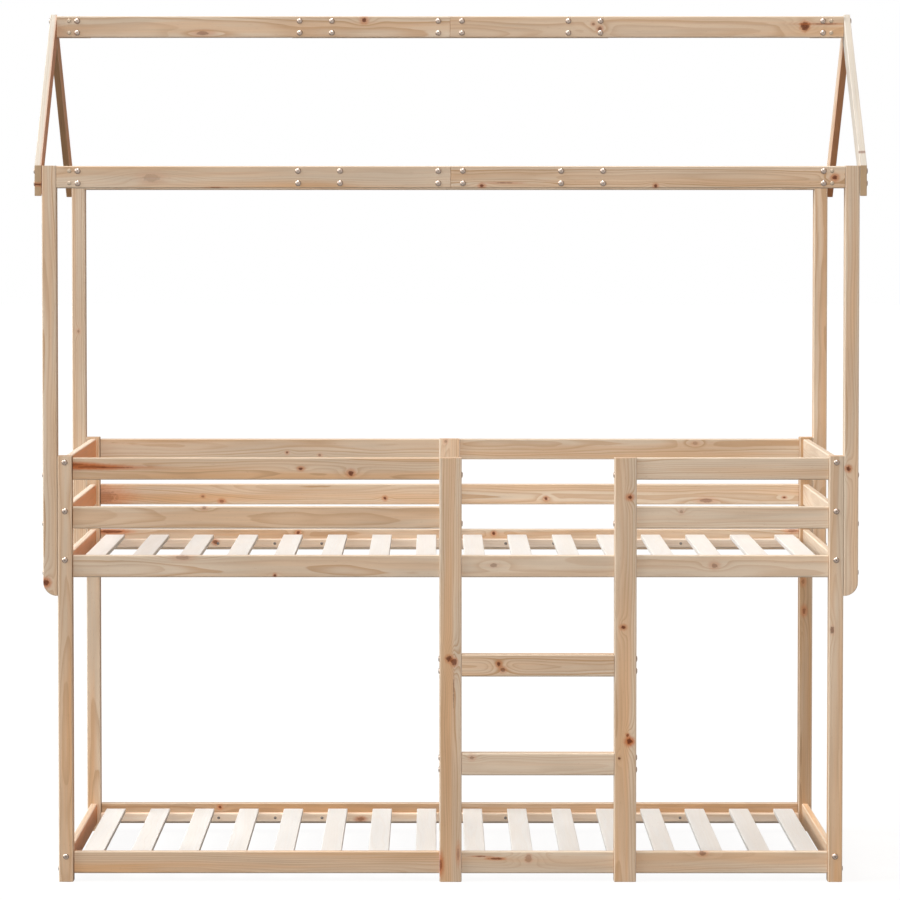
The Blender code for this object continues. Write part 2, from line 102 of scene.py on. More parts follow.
# %% A helper that writes shader graphs
class Graph:
    """Adds nodes to a shader tree. An input is a plain value or another node's output."""

    def __init__(self, tree):
        self.tree = tree

    def feed(self, sockets, inputs):
        for name, value in inputs.items():
            if isinstance(value, bpy.types.NodeSocket):
                self.tree.links.new(value, sockets[name])
            else:
                sockets[name].default_value = value

    def add(self, kind, inputs, output=0, **settings):
        """Add a node by its type, less the word ShaderNode, and hand back one output."""
        node = self.tree.nodes.new(f"ShaderNode{kind}")
        for name, value in settings.items():
            setattr(node, name, value)
        self.feed(node.inputs, inputs)
        return node.outputs[output]

    def group(self, tree, inputs):
        """Place a node group and hand back all its outputs."""
        node = self.tree.nodes.new("ShaderNodeGroup")
        node.node_tree = tree
        self.feed(node.inputs, inputs)
        return node.outputs

    def attribute(self, name, output="Fac"):
        """A value that the saw or the lathe wrote on each point of a piece."""
        return self.add("Attribute", {}, output, attribute_name=name)

    def math(self, operation, first, second=0.0, clamp=False):
        inputs = {0: first, 1: second}
        return self.add("Math", inputs, operation=operation, use_clamp=clamp)

    def plus(self, first, second, clamp=False):
        return self.math("ADD", first, second, clamp)

    def times(self, first, second, clamp=False):
        return self.math("MULTIPLY", first, second, clamp)

    def vector(self, operation, first, second):
        return self.add("VectorMath", {0: first, 1: second}, operation=operation)

    def length(self, vector):
        return self.add("VectorMath", {0: vector}, "Value", operation="LENGTH")

    def noise(self, place, per_metre, detail=2.0, output=0):
        """Soft noise that changes so many times in a metre, along each axis."""
        inputs = {"Vector": self.vector("MULTIPLY", place, per_metre), "Scale": 1.0}
        return self.add("TexNoise", {**inputs, "Detail": detail}, output)

    def ramp(self, value, start, end, low=0.0, high=1.0):
        """A smooth step: low until the value reaches start, high from end on."""
        inputs = {"Value": value, "From Min": start, "From Max": end, "To Min": low, "To Max": high}
        return self.add("MapRange", inputs, interpolation_type="SMOOTHSTEP")

    def mix(self, share, first, second, blend="MIX"):
        """Mixes two colours; the indices are those of the node's colour sockets."""
        inputs = {0: share, 6: first, 7: second}
        return self.add("Mix", inputs, 2, data_type="RGBA", blend_type=blend)

    def cover(self, colour, mask, share, cover):
        """Lays a second colour over the first where the mask is, up to a share of it."""
        return self.mix(self.times(mask, share), colour, cover)


def new_group(name, inputs, outputs):
    """A node group: its graph, its inputs and its outputs. An input without a value is a vector."""
    tree = bpy.data.node_groups.new(name, "ShaderNodeTree")
    for label, value in inputs.items():
        kind = "NodeSocketVector" if value is None else "NodeSocketFloat"
        socket = tree.interface.new_socket(label, in_out="INPUT", socket_type=kind)
        if value is not None:
            socket.default_value = value
    for label in outputs:
        tree.interface.new_socket(label, in_out="OUTPUT", socket_type="NodeSocketFloat")
    entry = tree.nodes.new("NodeGroupInput")
    leave = tree.nodes.new("NodeGroupOutput")
    return Graph(tree), entry.outputs, leave.inputs


def new_material(name):
    """A material, its graph, and the inputs of its surface shader."""
    material = bpy.data.materials.new(name)
    material.use_nodes = True
    tree = material.node_tree
    return material, Graph(tree), tree.nodes["Principled BSDF"].inputs


print("shader helper ready")

# %% [markdown]
# ## Lamps
#
# The photograph was taken in a white studio. Faces that look up or to the left
# are bright, those that look at the camera are in the middle, and those that
# look right or down are dark and warm. A broad sun high on the left does most of
# that. A weaker one in front, above the camera, casts no shadow of its own: it
# stands for the many lamps and white walls of a studio, whose shadows cancel each
# other, and it reaches the rear rails and the battens under the slats.

# %% Lamps
# The direction toward each lamp, its strength, its softness, and whether it casts a shadow
LAMPS = {
    "left_lamp": ((-0.85, -0.05, 0.53), 2.95, math.radians(50), True),
    "front_lamp": ((-0.10, -0.64, 0.76), 1.85, 0.0, False),
}

for name, (toward_lamp, strength, softness, casts_shadow) in LAMPS.items():
    lamp_data = bpy.data.lights.new(name, "SUN")
    lamp_data.energy = strength
    lamp_data.angle = softness
    lamp_data.use_shadow = casts_shadow
    lamp = add_object(name, lamp_data)
    lamp.rotation_mode = "QUATERNION"
    lamp.rotation_quaternion = Vector(toward_lamp).to_track_quat("Z", "Y")
print("lamps:", *LAMPS)

# %% [markdown]
# ## Room
#
# A warm glow from all round, a little stronger on the right, keeps the far sides
# from turning black. The room is white only where the camera looks at it, so the
# background doesn't overexpose the bed. What a bolt mirrors is a white room on
# the left and a dim one on the right, and that contrast draws its dome.

# %% Room
ROOM_GLOW, ROOM_COLOUR = 0.28, (1.0, 0.80, 0.64, 1.0)
RIGHT_GLOW, RIGHT_COLOUR = 0.46, (1.0, 0.71, 0.50, 1.0)
MIRRORED_RIGHT = 0.45
WHITE = (1.0, 1.0, 1.0, 1.0)


def seen(graph, mirrored):
    """1 where the camera looks, and a share of it in what steel mirrors."""
    rays = graph.tree.nodes.new("ShaderNodeLightPath").outputs
    mirrored = graph.times(rays["Is Glossy Ray"], mirrored)
    return graph.math("MAXIMUM", rays["Is Camera Ray"], mirrored)


room = bpy.data.worlds.new("white_room")
room.use_nodes = True
bpy.context.scene.world = room
graph = Graph(room.node_tree)
direction = graph.add("TexCoord", {}, "Generated")
to_right = graph.ramp(graph.add("SeparateXYZ", {0: direction}), 0.0, 0.8)
white = seen(graph, graph.ramp(to_right, 0.0, 0.5, 1.0, MIRRORED_RIGHT))
glow = graph.plus(graph.times(to_right, RIGHT_GLOW - ROOM_GLOW), ROOM_GLOW)
tint = graph.mix(to_right, ROOM_COLOUR, RIGHT_COLOUR)
graph.feed(
    room.node_tree.nodes["Background"].inputs,
    {"Color": graph.mix(white, tint, WHITE), "Strength": graph.math("MAXIMUM", glow, white)},
)
print("room:", room.name)

# %% [markdown]
# ## Floor
#
# The studio floor is as white as its background, and the bed casts a soft shadow
# on it. A floor that glows where the camera looks gives that white without
# throwing light up at the bed, and a matt grey under the glow takes the shadow.
# Steel mirrors it as a mid grey.

# %% Floor
FLOOR_SIZE = 120.0
FLOOR_GREY = (0.15, 0.15, 0.15, 1.0)
FLOOR_GLOW = 0.86
MIRRORED_FLOOR = 0.25

floor_material, graph, _ = new_material("studio_floor")
nodes = graph.tree.nodes
nodes.remove(nodes["Principled BSDF"])
matt = graph.add("BsdfDiffuse", {"Color": FLOOR_GREY})
white = graph.times(seen(graph, MIRRORED_FLOOR), FLOOR_GLOW)
glowing = graph.add("Emission", {"Strength": white})
both = graph.add("AddShader", {0: matt, 1: glowing})
graph.feed(nodes["Material Output"].inputs, {"Surface": both})

half = FLOOR_SIZE / 2
floor_mesh = bpy.data.meshes.new("studio_floor")
corners = [(-half, -half, 0), (half, -half, 0), (half, half, 0), (-half, half, 0)]
floor_mesh.from_pydata(corners, [], [(0, 1, 2, 3)])
floor_mesh.materials.append(floor_material)
floor = add_object("studio_floor", floor_mesh)
print("floor:", FLOOR_SIZE, "m wide")

# %% [markdown]
# ## Growth rings
#
# Pine is sawn from a round trunk, and its lines are the edges of yearly rings.
# An image of wood would repeat and would not meet at the corners of a board. A
# solid texture has neither fault: every point of a board knows where it was in
# the trunk, and the rings are its distance from the pith, divided by the width
# of a year. Each year starts pale and darkens to a thin line, and some years are
# fainter. Slow noise bends the trunk, which draws the long arches on the face of
# a board. The group also puts out two soft clouds that follow the rings, a wide
# one for warm bands and a finer one for patches of light and shade.

# %% The growth ring group
TRUNK_TAPER = 0.007
YEAR_DARKENS, YEAR_ENDS = 0.20, 0.93
FAINTEST_YEAR = 0.35

rings, ring_in, ring_out = new_group(
    "Growth rings",
    {"Log Position": None, "Ring Width": 0.004, "Ring Shift": 0.0},
    ["Latewood", "Band", "Cloud"],
)


def bend(place, per_metre, reach):
    """Push a place sideways in the trunk by noise that is up to half of reach each way."""
    push = rings.noise(ring_in["Log Position"], per_metre, output="Color")
    push = rings.vector("SUBTRACT", push, (0.5, 0.5, 0.5))
    return rings.vector("ADD", place, rings.vector("MULTIPLY", push, (0.0, reach, reach)))


bent = bend(ring_in["Log Position"], (1.7, 7.0, 7.0), 0.030)
bent = bend(bent, (9.0, 45.0, 45.0), 0.0028)
radius = rings.length(rings.vector("MULTIPLY", bent, (0.0, 1.0, 1.0)))
along = rings.add("SeparateXYZ", {0: ring_in["Log Position"]})
grown = rings.plus(rings.plus(radius, rings.times(along, TRUNK_TAPER)), ring_in["Ring Shift"])
uneven = {"W": rings.times(grown, 60.0), "Scale": 1.0}
uneven = rings.add("TexNoise", uneven, noise_dimensions="1D")
years = rings.math("DIVIDE", grown, ring_in["Ring Width"])
years = rings.plus(years, rings.times(uneven, 1.3))
season = rings.math("FRACT", years)
darkening = rings.math("POWER", rings.ramp(season, YEAR_DARKENS, YEAR_ENDS), 1.6)
new_year = rings.ramp(season, YEAR_ENDS, 1.0, 1.0, 0.0)
year = {"W": rings.math("FLOOR", years)}
hard_year = rings.add("TexWhiteNoise", year, noise_dimensions="1D")
strength = rings.ramp(hard_year, 0.0, 1.0, FAINTEST_YEAR, 1.0)
rings.feed(
    ring_out,
    {
        "Latewood": rings.times(rings.times(darkening, new_year), strength),
        "Band": rings.noise(bent, (0.9, 26.0, 26.0), 3.0),
        "Cloud": rings.noise(bent, (2.3, 17.0, 17.0)),
    },
)
print("group:", rings.tree.name)

# %% [markdown]
# ## Fibres
#
# Between the rings the wood is a bundle of fibres. They show as fine streaks
# along the board, and as tiny brown dashes where a resin duct was cut open. The
# same noise stretched forty times along the trunk gives the streaks, and its
# peaks give the dashes.

# %% The fibre group
fibres, fibre_in, fibre_out = new_group("Wood fibres", {"Log Position": None}, ["Streak", "Duct"])
trunk = fibre_in["Log Position"]
coarse = fibres.times(fibres.noise(trunk, (5.0, 230.0, 230.0), 3.0), 0.6)
fine = fibres.times(fibres.noise(trunk, (16.0, 1100.0, 1100.0)), 0.4)
ducts = fibres.ramp(fibres.noise(trunk, (75.0, 900.0, 900.0), 1.0), 0.70, 0.78)
fibres.feed(fibre_out, {"Streak": fibres.plus(coarse, fine), "Duct": ducts})
print("group:", fibres.tree.name)

# %% [markdown]
# ## Knots
#
# A knot is a branch that the trunk grew around. Its core is brown with rings of
# its own, resin colours the wood about it red, and the growth rings swing round
# it like water round a stone. The group measures how far a point is from the
# branch, which runs through the thickness of the board, so the same knot shows
# on both faces. It gives a mask for each colour, and a shift for the rings.

# %% The knot group
THROUGH_SHARE = 0.1
RAGGEDNESS = 1.1
BRANCH_RINGS = 2.6
BARK_AT = 0.85
SWING_ALONG, SWING_REACH, SWING_PUSH = 0.42, 2.1, 1.7

knot, knot_in, knot_out = new_group(
    "Knot",
    {"Board Position": None, "Centre": None, "Radius": 0.006, "Stretch": 1.0, "Halo Size": 2.4},
    ["Core", "Bark", "Halo", "Ring Shift"],
)
offset = knot.vector("SUBTRACT", knot_in["Board Position"], knot_in["Centre"])


def from_branch(along_share):
    """The distance to the branch, which counts for less along the grain and through the board."""
    along = knot.math("DIVIDE", along_share, knot_in["Stretch"])
    shares = knot.add("CombineXYZ", {0: along, 1: THROUGH_SHARE, 2: 1.0})
    return knot.length(knot.vector("MULTIPLY", offset, shares))


ragged = knot.noise(knot_in["Board Position"], (130.0, 60.0, 210.0), 3.0)
ragged = knot.times(knot.math("SUBTRACT", ragged, 0.5), RAGGEDNESS)
reach = knot.plus(knot.math("DIVIDE", from_branch(1.0), knot_in["Radius"]), ragged)
branch_rings = knot.ramp(knot.math("FRACT", knot.times(reach, BRANCH_RINGS)), 0.0, 1.0, 0.80, 1.0)
off_bark = knot.math("ABSOLUTE", knot.math("SUBTRACT", reach, BARK_AT))
far = knot.math("DIVIDE", from_branch(SWING_ALONG), knot.times(knot_in["Radius"], SWING_REACH))
swing = knot.math("EXPONENT", knot.times(knot.times(far, far), -1.0))
knot.feed(
    knot_out,
    {
        "Core": knot.times(knot.ramp(reach, 0.55, 1.0, 1.0, 0.0), branch_rings),
        "Bark": knot.ramp(knot.math("SUBTRACT", 1.0, off_bark), 0.72, 0.97),
        "Halo": knot.ramp(reach, 0.8, knot_in["Halo Size"], 1.0, 0.0),
        "Ring Shift": knot.times(swing, knot.times(knot_in["Radius"], SWING_PUSH)),
    },
)
print("group:", knot.tree.name)

# %% [markdown]
# ## Colours of the wood
#
# Boards of one tree differ. Most of this bed is plain pine. The end rails on the
# left and the ledgers are sapwood, from just under the bark, and the front
# rafters are given a nearly white wood, which paints the light on their upward
# faces. The slats are the palest and plainest. Each kind has a colour for the
# early wood, the darker line of the late wood, a warm band here and there,
# sanded edges, which partly paint a highlight, and sawn ends, and all share a
# red of the heart, which also paints the shade on faces turned from the lamps.

# %% Colours
def srgb(red, green, blue):
    """A colour as a paint program shows it, turned into the linear one that shaders take."""
    shares = [channel / 255 for channel in (red, green, blue)]
    linear = [s / 12.92 if s <= 0.04045 else ((s + 0.055) / 1.055) ** 2.4 for s in shares]
    return (*linear, 1.0)


@dataclass
class Timber:
    """The colours of one kind of wood, and how cloudy they are beside plain pine's."""
    early: tuple
    late: tuple
    warm: tuple
    sanded_highlight: tuple
    end: tuple
    mottle: float = 1.0


def timber(*colours, **others):
    """A kind of wood from its colours as a paint program shows them."""
    return Timber(*(srgb(*colour) for colour in colours), **others)


# Early wood, late wood, warm bands, sanded edges with their painted highlight, and sawn ends
PINE = timber((227, 209, 187), (200, 163, 126), (223, 181, 138), (242, 230, 211), (204, 168, 132))
SAPWOOD = timber((243, 228, 212), (216, 188, 160), (234, 206, 178), (240, 228, 212), (176, 135, 84))
# The front rafters' nearly white wood paints the light on their upward faces
FRONT_RAFTER_LIT_WOOD = timber(
    (240, 235, 225), (224, 208, 182), (234, 222, 204), (240, 234, 224), (184, 147, 98)
)
PALE_PINE = timber(
    (232, 232, 230), (228, 223, 216), (232, 229, 224), (235, 234, 232), (220, 202, 180), mottle=0.35
)
# A red of the heart, laid on faces that are in shade, so it is partly painted shade
HEART_AND_SHADE_RED = srgb(246, 168, 112)
RESIN_RED = srgb(198, 114, 62)
KNOT_BROWN = srgb(96, 42, 18)
KNOT_BARK = srgb(56, 24, 12)
DUCT_BROWN = srgb(150, 108, 74)
print("plain pine, in linear light:", [round(share, 3) for share in PINE.early[:3]])

# %% [markdown]
# ## Timber
#
# Every kind of wood uses one recipe. The rings, bands, fibres and knots lay their
# colours over each other, and values that the saw writes on a board make it its
# own: how warm it is, how plainly its rings show, its light, a painted light that
# darkens boards lying in shade and lightens those the lamps reach too little, and
# its heart shade, a red on the face that was nearest the pith of the trunk, which
# also paints the shade on faces turned away from the lamps. Eased edges, where the
# sanding block took the surface off, are a little paler, which partly paints a
# highlight along the rounded edges. The latewood is harder and shinier than the
# early wood, so the same masks drive the roughness and a very shallow bump.

# %% Timber materials
RING_WIDTH = 0.0046
HEART_SHADE_POWER = 8
# How much of a colour shows where its mask is full
HEART_SHADE_SHARE, DUCT_SHARE, SANDED_HIGHLIGHT_SHARE, END_SHARE = 0.90, 0.35, 0.60, 0.75
CORE_SHARE, BARK_SHARE = 0.96, 0.55


@dataclass
class Knot:
    """A knot by where it shows in the picture: X and Z on the front face, in metres.

    Its stretch is along the grain, its depth is how dark it is, its resin how
    red the wood about it is, and its spread how many radii that red reaches.
    """
    x: float
    z: float
    radius: float = 0.005
    stretch: float = 1.0
    depth: float = 1.0
    resin: float = 0.60
    spread: float = 2.9


def timber_material(name, wood, knots=()):
    """knots is [(centre in the board's own axes, Knot)]."""
    material, graph, surface = new_material(name)
    place = graph.attribute("board", "Vector") if knots else None
    shift, marks = 0.0, []
    for centre, kind in knots:
        sizes = {"Radius": kind.radius, "Stretch": kind.stretch, "Halo Size": kind.spread}
        mask = graph.group(knot.tree, {"Board Position": place, "Centre": centre, **sizes})
        shift = graph.plus(shift, mask["Ring Shift"])
        marks.append((mask, kind))

    log = graph.attribute("log", "Vector")
    growth = {"Log Position": log, "Ring Width": RING_WIDTH, "Ring Shift": shift}
    ring = graph.group(rings.tree, growth)
    fibre = graph.group(fibres.tree, {"Log Position": log})

    def mottled(value, start, end, darker, lighter):
        """A ramp from below 1 to above it, as far as this wood is cloudy."""
        low, high = 1 - darker * wood.mottle, 1 + lighter * wood.mottle
        return graph.ramp(value, start, end, low, high)

    bands = graph.ramp(ring["Band"], 0.34, 0.68, -0.22, 0.66)
    warmth = graph.plus(bands, graph.attribute("tone"), clamp=True)
    colour = graph.mix(warmth, wood.early, wood.warm)
    lines = graph.times(ring["Latewood"], graph.attribute("figure"), clamp=True)
    colour = graph.mix(lines, colour, wood.late)
    # The heart shade: a red on the face nearest the pith, laid on faces in shade, so partly painted
    # shade
    heart_shade = graph.math("POWER", graph.attribute("heart_shade"), HEART_SHADE_POWER)
    colour = graph.cover(colour, heart_shade, HEART_SHADE_SHARE, HEART_AND_SHADE_RED)
    clouds = mottled(ring["Cloud"], 0.34, 0.66, 0.075, 0.045)
    streaks = mottled(fibre["Streak"], 0.30, 0.70, 0.05, 0.04)
    # The light attribute is painted light: it darkens boards in shade and lightens those the lamps
    # reach too little
    shade = graph.times(graph.times(streaks, clouds), graph.attribute("light"))
    shade = graph.add("CombineXYZ", {0: shade, 1: shade, 2: shade})
    colour = graph.mix(1.0, colour, shade, "MULTIPLY")
    colour = graph.cover(colour, fibre["Duct"], DUCT_SHARE, DUCT_BROWN)
    # Paler sanded edges, which partly paint a highlight along the rounded edges
    colour = graph.cover(colour, graph.attribute("edge"), SANDED_HIGHLIGHT_SHARE, wood.sanded_highlight)
    colour = graph.cover(colour, graph.attribute("end_grain"), END_SHARE, wood.end)
    for mask, kind in marks:
        colour = graph.cover(colour, mask["Halo"], kind.resin * kind.depth, RESIN_RED)
        colour = graph.cover(colour, mask["Core"], CORE_SHARE * kind.depth, KNOT_BROWN)
        colour = graph.cover(colour, mask["Bark"], BARK_SHARE * kind.depth, KNOT_BARK)

    height = graph.plus(graph.times(fibre["Streak"], 0.7), ring["Latewood"])
    bump = {"Strength": 0.30, "Distance": 0.0004, "Height": height}
    graph.feed(
        surface,
        {
            "Base Color": colour,
            "Roughness": graph.ramp(ring["Latewood"], 0.0, 1.0, 0.60, 0.48),
            "Normal": graph.add("Bump", bump),
            "Specular IOR Level": 0.35,
        },
    )
    return material


PLAIN_PINE = timber_material("pine_plain", PINE)
PLAIN_SLAT = timber_material("pale_pine_slats", PALE_PINE)
PLAIN_SAPWOOD = timber_material("pine_sapwood", SAPWOOD)
print("materials:", PLAIN_PINE.name, PLAIN_SLAT.name, PLAIN_SAPWOOD.name)

# %% [markdown]
# ## The outline of a board
#
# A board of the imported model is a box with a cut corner. A planed board has
# rounded long edges that catch a line of light, and ends that are only just
# broken with sandpaper. The board is drawn as a row of outlines, joined like
# the hoops of a barrel: each outline is a rounded rectangle, and the outlines at
# the ends are a little smaller. The same row of outlines gives a post its
# rounded heel and a rafter its plumb cuts.

# %% Outlines
EDGE_RADIUS = 0.0034
END_EASE = 0.0009
CORNER_STEPS = 4
ROUNDEST = 0.98


@dataclass
class Outline:
    """Where an outline is along the grain, how much smaller it is, and how far it leans."""
    along: float
    all_round: float = 0.0
    off_top: float = 0.0
    lean: float = 0.0


def outline_points(through, across, outline, radius):
    """Points round a rounded rectangle, with how far round a corner each one is."""
    side = through / 2 - outline.all_round
    bottom = -across / 2 + outline.all_round
    top = across / 2 - outline.all_round - outline.off_top
    radius = min(radius, side * ROUNDEST, (top - bottom) / 2 * ROUNDEST)
    points = []
    for quarter, (y, z) in enumerate(((side, top), (-side, top), (-side, bottom), (side, bottom))):
        centre_y = y - math.copysign(radius, y)
        centre_z = z - radius if quarter < 2 else z + radius
        for step in range(CORNER_STEPS + 1):
            angle = (quarter + step / CORNER_STEPS) * math.pi / 2
            on_edge = math.sin(step / CORNER_STEPS * math.pi)
            round_y, round_z = radius * math.cos(angle), radius * math.sin(angle)
            points.append((centre_y + round_y, centre_z + round_z, on_edge))
    return points


def plain_outlines(length):
    half_length = length / 2
    return [
        Outline(-half_length, END_EASE),
        Outline(-half_length + END_EASE),
        Outline(half_length - END_EASE),
        Outline(half_length, END_EASE),
    ]


print("an outline has", 4 * (CORNER_STEPS + 1), "points")

# %% [markdown]
# ## Where in the trunk each board was sawn
#
# No two boards look alike, because each comes from its own place in a trunk.
# That place is drawn at random from the board's name, so it is the same in every
# run. How each board looks beside its neighbours is in one table, read from the
# photograph. Posts are warmer at the foot than at the top, which paints the light
# falling off toward the floor, so a second table says how much their tone drifts.

# %% Cuts
ALONG_TRUNK = (0, 40)
PITH_DISTANCE = (0.030, 0.080)
ASIDE = (-0.02, 0.02)
TURN = (-0.5, 0.5)
USUAL_TONE = (-0.05, 0.25)


@dataclass
class Cut:
    """Where in a trunk a board was sawn, and how its wood looks.

    Its tone runs from pale, below zero, to warm, at one. Its figure is how
    plainly the rings show. Its light is painted light, a factor on its colour:
    below one it paints the shade on a board that lies in shade, above one the
    light that the lamps bring it too little. Its heart_shade is how red the
    face is that was cut nearest the pith, a red that also paints the shade on
    that face, and its heart_shade_face is which face that is, as a direction
    through the board and across it. Its shade_drift is how much its tone gains
    from the first end to the last, which paints the light falling off toward
    the floor.
    """
    turn: float
    place: Vector
    tone: float
    figure: float = 0.85
    light: float = 1.0
    heart_shade: float = 0.0
    heart_shade_face: tuple = (1, 0)
    shade_drift: float = 0.0

    def nearness(self, y_share, z_share):
        """How near a point is to the red face, from 0 to 1, ready for the material's power."""
        share = 0.5 + y_share * self.heart_shade_face[0] + z_share * self.heart_shade_face[1]
        return share * self.heart_shade ** (1 / HEART_SHADE_POWER)

    def in_log(self, point):
        return Matrix.Rotation(self.turn, 3, "X") @ point + self.place


# Each board's tone and figure, and where they matter its painted light, heart shade and heart shade
# face
BOARD_LOOKS = {
    "ridge_board_left": (-0.08, 0.95),
    "ridge_board_right": (0.4, 0.6),
    "eave_rail_front_left": (0.2, 0.55),
    "eave_rail_front_right": (0.1, 1.25),
    "roof_post_front_left": (0.02, 1.0),
    "roof_post_front_right": (-0.05, 0.9),
    "roof_post_rear_left": (-0.1, 0.8),
    "roof_post_rear_right": (0.12, 0.9),
    "corner_post_front_left": (0.37, 1.1),
    "corner_post_front_right": (0.22, 0.45, 0.99),
    "corner_post_rear_left": (0.30, 0.9, 0.97),
    "corner_post_rear_right": (0.62, 0.9, 0.76),
    "ladder_post_left": (0.21, 1.0, 0.96),
    "ladder_post_right": (0.14, 0.8, 0.98),
    "ladder_step_1": (-0.4, 0.65),
    "ladder_step_2": (-0.02, 1.15),
    "front_top_rail_left": (0.28, 1.0, 0.98),
    "front_guard_rail_left": (-0.1, 1.1),
    "front_top_rail_right": (-0.1, 0.75, 0.98),
    "front_guard_rail_right": (-0.25, 0.5),
    "front_upper_rail_left": (-0.35, 0.75, 0.98),
    "front_upper_rail_middle": (-0.3, 0.4),
    "front_upper_rail_right": (-0.35, 0.5),
    "front_lower_rail_left": (0.5, 0.9, 0.97),
    "front_lower_rail_middle": (0.05, 0.35, 0.97),
    "front_lower_rail_right": (-0.02, 0.6),
    # The rear rails' light below one paints the shade that falls on them inside the bed
    "rear_top_rail_left": (0.28, 0.75, 0.83),
    "rear_top_rail_right": (0.02, 0.8, 0.89),
    "rear_guard_rail_left": (0.35, 0.9, 0.94),
    "rear_guard_rail_right": (-0.15, 0.8),
    "rear_upper_rail_left": (0.1, 0.85, 0.86),
    "rear_upper_rail_right": (0.1, 0.85, 0.88),
    "rear_lower_rail_left": (0.55, 0.9, 0.74),
    "rear_lower_rail_right": (0.45, 0.9, 0.8),
    # The heart shade on the left end rails' inner faces paints the shade on faces turned away from
    # the lamps
    "left_top_end_rail": (-0.1, 0.8, 1.0, 1.0),
    "left_guard_end_rail": (-0.1, 0.8, 1.0, 1.0),
    "left_upper_end_rail": (-0.1, 0.8, 1.0, 1.0),
    "left_lower_end_rail": (0.6, 0.8, 0.98, 0.95),
    "right_top_end_rail": (-0.5, 0.6, 0.95),
    "right_guard_end_rail": (-0.65, 0.6),
    "right_upper_end_rail": (-0.65, 0.6),
    "right_lower_end_rail": (0.3, 0.6, 1.2),
    # The rafters' light and heart shade paint the shade on their undersides and inner faces
    "rafter_front_left": (-0.3, 0.5, 0.82, 1.0),
    "rafter_front_right": (-0.3, 0.6, 0.74),
    "rafter_rear_left": (1.1, 0.7, 0.82, 0.5),
    "rafter_rear_right": (0.1, 0.7, 1.0, 0.8, (0, 1)),
    # The ledgers' light paints light into the shade under the slats, and shade where it is below
    # one
    "lower_ledger_rear_left": (0.5, 0.5, 1.20),
    "lower_ledger_rear_right": (0.4, 0.5, 1.08),
    "upper_ledger_rear_left": (0.6, 0.5, 1.03),
    "upper_ledger_rear_right": (0.45, 0.5, 0.93),
}

# How much the tone of a post gains from its foot to its top, which paints the light falling off
# toward the floor
POST_SHADE_DRIFTS = {
    "corner_post_front_left": -0.5,
    "corner_post_front_right": -1.1,
    "corner_post_rear_left": -0.3,
    "ladder_post_left": -0.55,
    "ladder_post_right": -0.6,
}


def cut_for(name, pith_distance=PITH_DISTANCE):
    """A board's own cut, the same in every run because its name is the seed."""
    chance = random.Random(name)
    ranges = (ALONG_TRUNK, pith_distance, ASIDE, TURN, USUAL_TONE)
    *place, turn, usual = (chance.uniform(*limits) for limits in ranges)
    looks = BOARD_LOOKS.get(name, (usual,))
    return Cut(turn, Vector(place), *looks, shade_drift=POST_SHADE_DRIFTS.get(name, 0.0))


print("boards with a look of their own:", len(BOARD_LOOKS))

# %% [markdown]
# ## The saw
#
# The saw joins the outlines into a closed board. It writes on every point where
# that point was in the trunk and on the board, and the looks of the cut, and the
# timber materials read these values. Planed faces have to stay flat beside their
# round edges, so the smooth shading follows the large faces.

# %% The saw
FLAT_FACE_WEIGHT = 90
VECTOR_LAYERS = ("log", "board")
NUMBER_LAYERS = ("tone", "figure", "light", "heart_shade", "edge", "end_grain")
AXES = {"x": (1, 0, 0), "y": (0, 1, 0), "z": (0, 0, 1), "-y": (0, -1, 0)}


def layer_of(shape, name, kind="float"):
    layers = getattr(shape.verts.layers, kind)
    return layers.get(name) or layers.new(name)


def join_hoops(shape, hoops):
    """Join rows of points side by side, and close the first and the last."""
    count = len(hoops[0])
    for first, second in zip(hoops, hoops[1:]):
        for index in range(count):
            after = (index + 1) % count
            shape.faces.new((first[index], first[after], second[after], second[index]))
    shape.faces.new(reversed(hoops[0]))
    shape.faces.new(hoops[-1])


def saw(shape, place, through, across, outlines, cut, radius=EDGE_RADIUS):
    """Add one board to a bmesh. Its own axes are along the grain, through it and across it."""
    layers = {name: layer_of(shape, name, "float_vector") for name in VECTOR_LAYERS}
    layers.update({name: layer_of(shape, name) for name in NUMBER_LAYERS})
    length = outlines[-1].along - outlines[0].along
    hoops = []
    for outline in outlines:
        at_end = outline in (outlines[0], outlines[-1])
        hoop = []
        for y, z, on_edge in outline_points(through, across, outline, radius):
            point = Vector((outline.along + outline.lean * z, y, z))
            vert = shape.verts.new(place @ point)
            written = {
                "log": cut.in_log(point),
                "board": point,
                # The tone drift along a post paints the light falling off toward the floor
                "tone": cut.tone + cut.shade_drift * outline.along / length,
                "figure": cut.figure,
                "light": cut.light,
                "heart_shade": cut.nearness(y / through, z / across),
                "edge": on_edge,
                "end_grain": 1.0 if at_end else 0.0,
            }
            for name, value in written.items():
                vert[layers[name]] = value
            hoop.append(vert)
        hoops.append(hoop)
    join_hoops(shape, hoops)


def grain_axes(along, through):
    """A frame with X along the grain and Y through the board."""
    grain, depth = Vector(along), Vector(through)
    return Matrix((grain, depth, grain.cross(depth))).transposed().to_4x4()


def new_piece(shape, name, material, place=(0, 0, 0)):
    """Turn a bmesh into a smooth piece that rides on the bed."""
    mesh = bpy.data.meshes.new(name)
    shape.to_mesh(mesh)
    shape.free()
    mesh.materials.append(material)
    mesh.polygons.foreach_set("use_smooth", [True] * len(mesh.polygons))
    piece = add_object(name, mesh)
    piece.location = place
    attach(piece, "root")
    return piece


def plane(shape, name, material, place=(0, 0, 0)):
    """A piece with flat faces that stay flat beside its round edges."""
    bmesh.ops.recalc_face_normals(shape, faces=shape.faces)
    piece = new_piece(shape, name, material, place)
    piece.modifiers.new("flat faces", "WEIGHTED_NORMAL").weight = FLAT_FACE_WEIGHT
    return piece


def material_for(node, wood, placed):
    """The plain material of a wood, or the board's own where it has knots."""
    if placed:
        return timber_material(f"{node}_wood", wood, placed)
    return PLAIN_PINE if wood is PINE else PLAIN_SAPWOOD


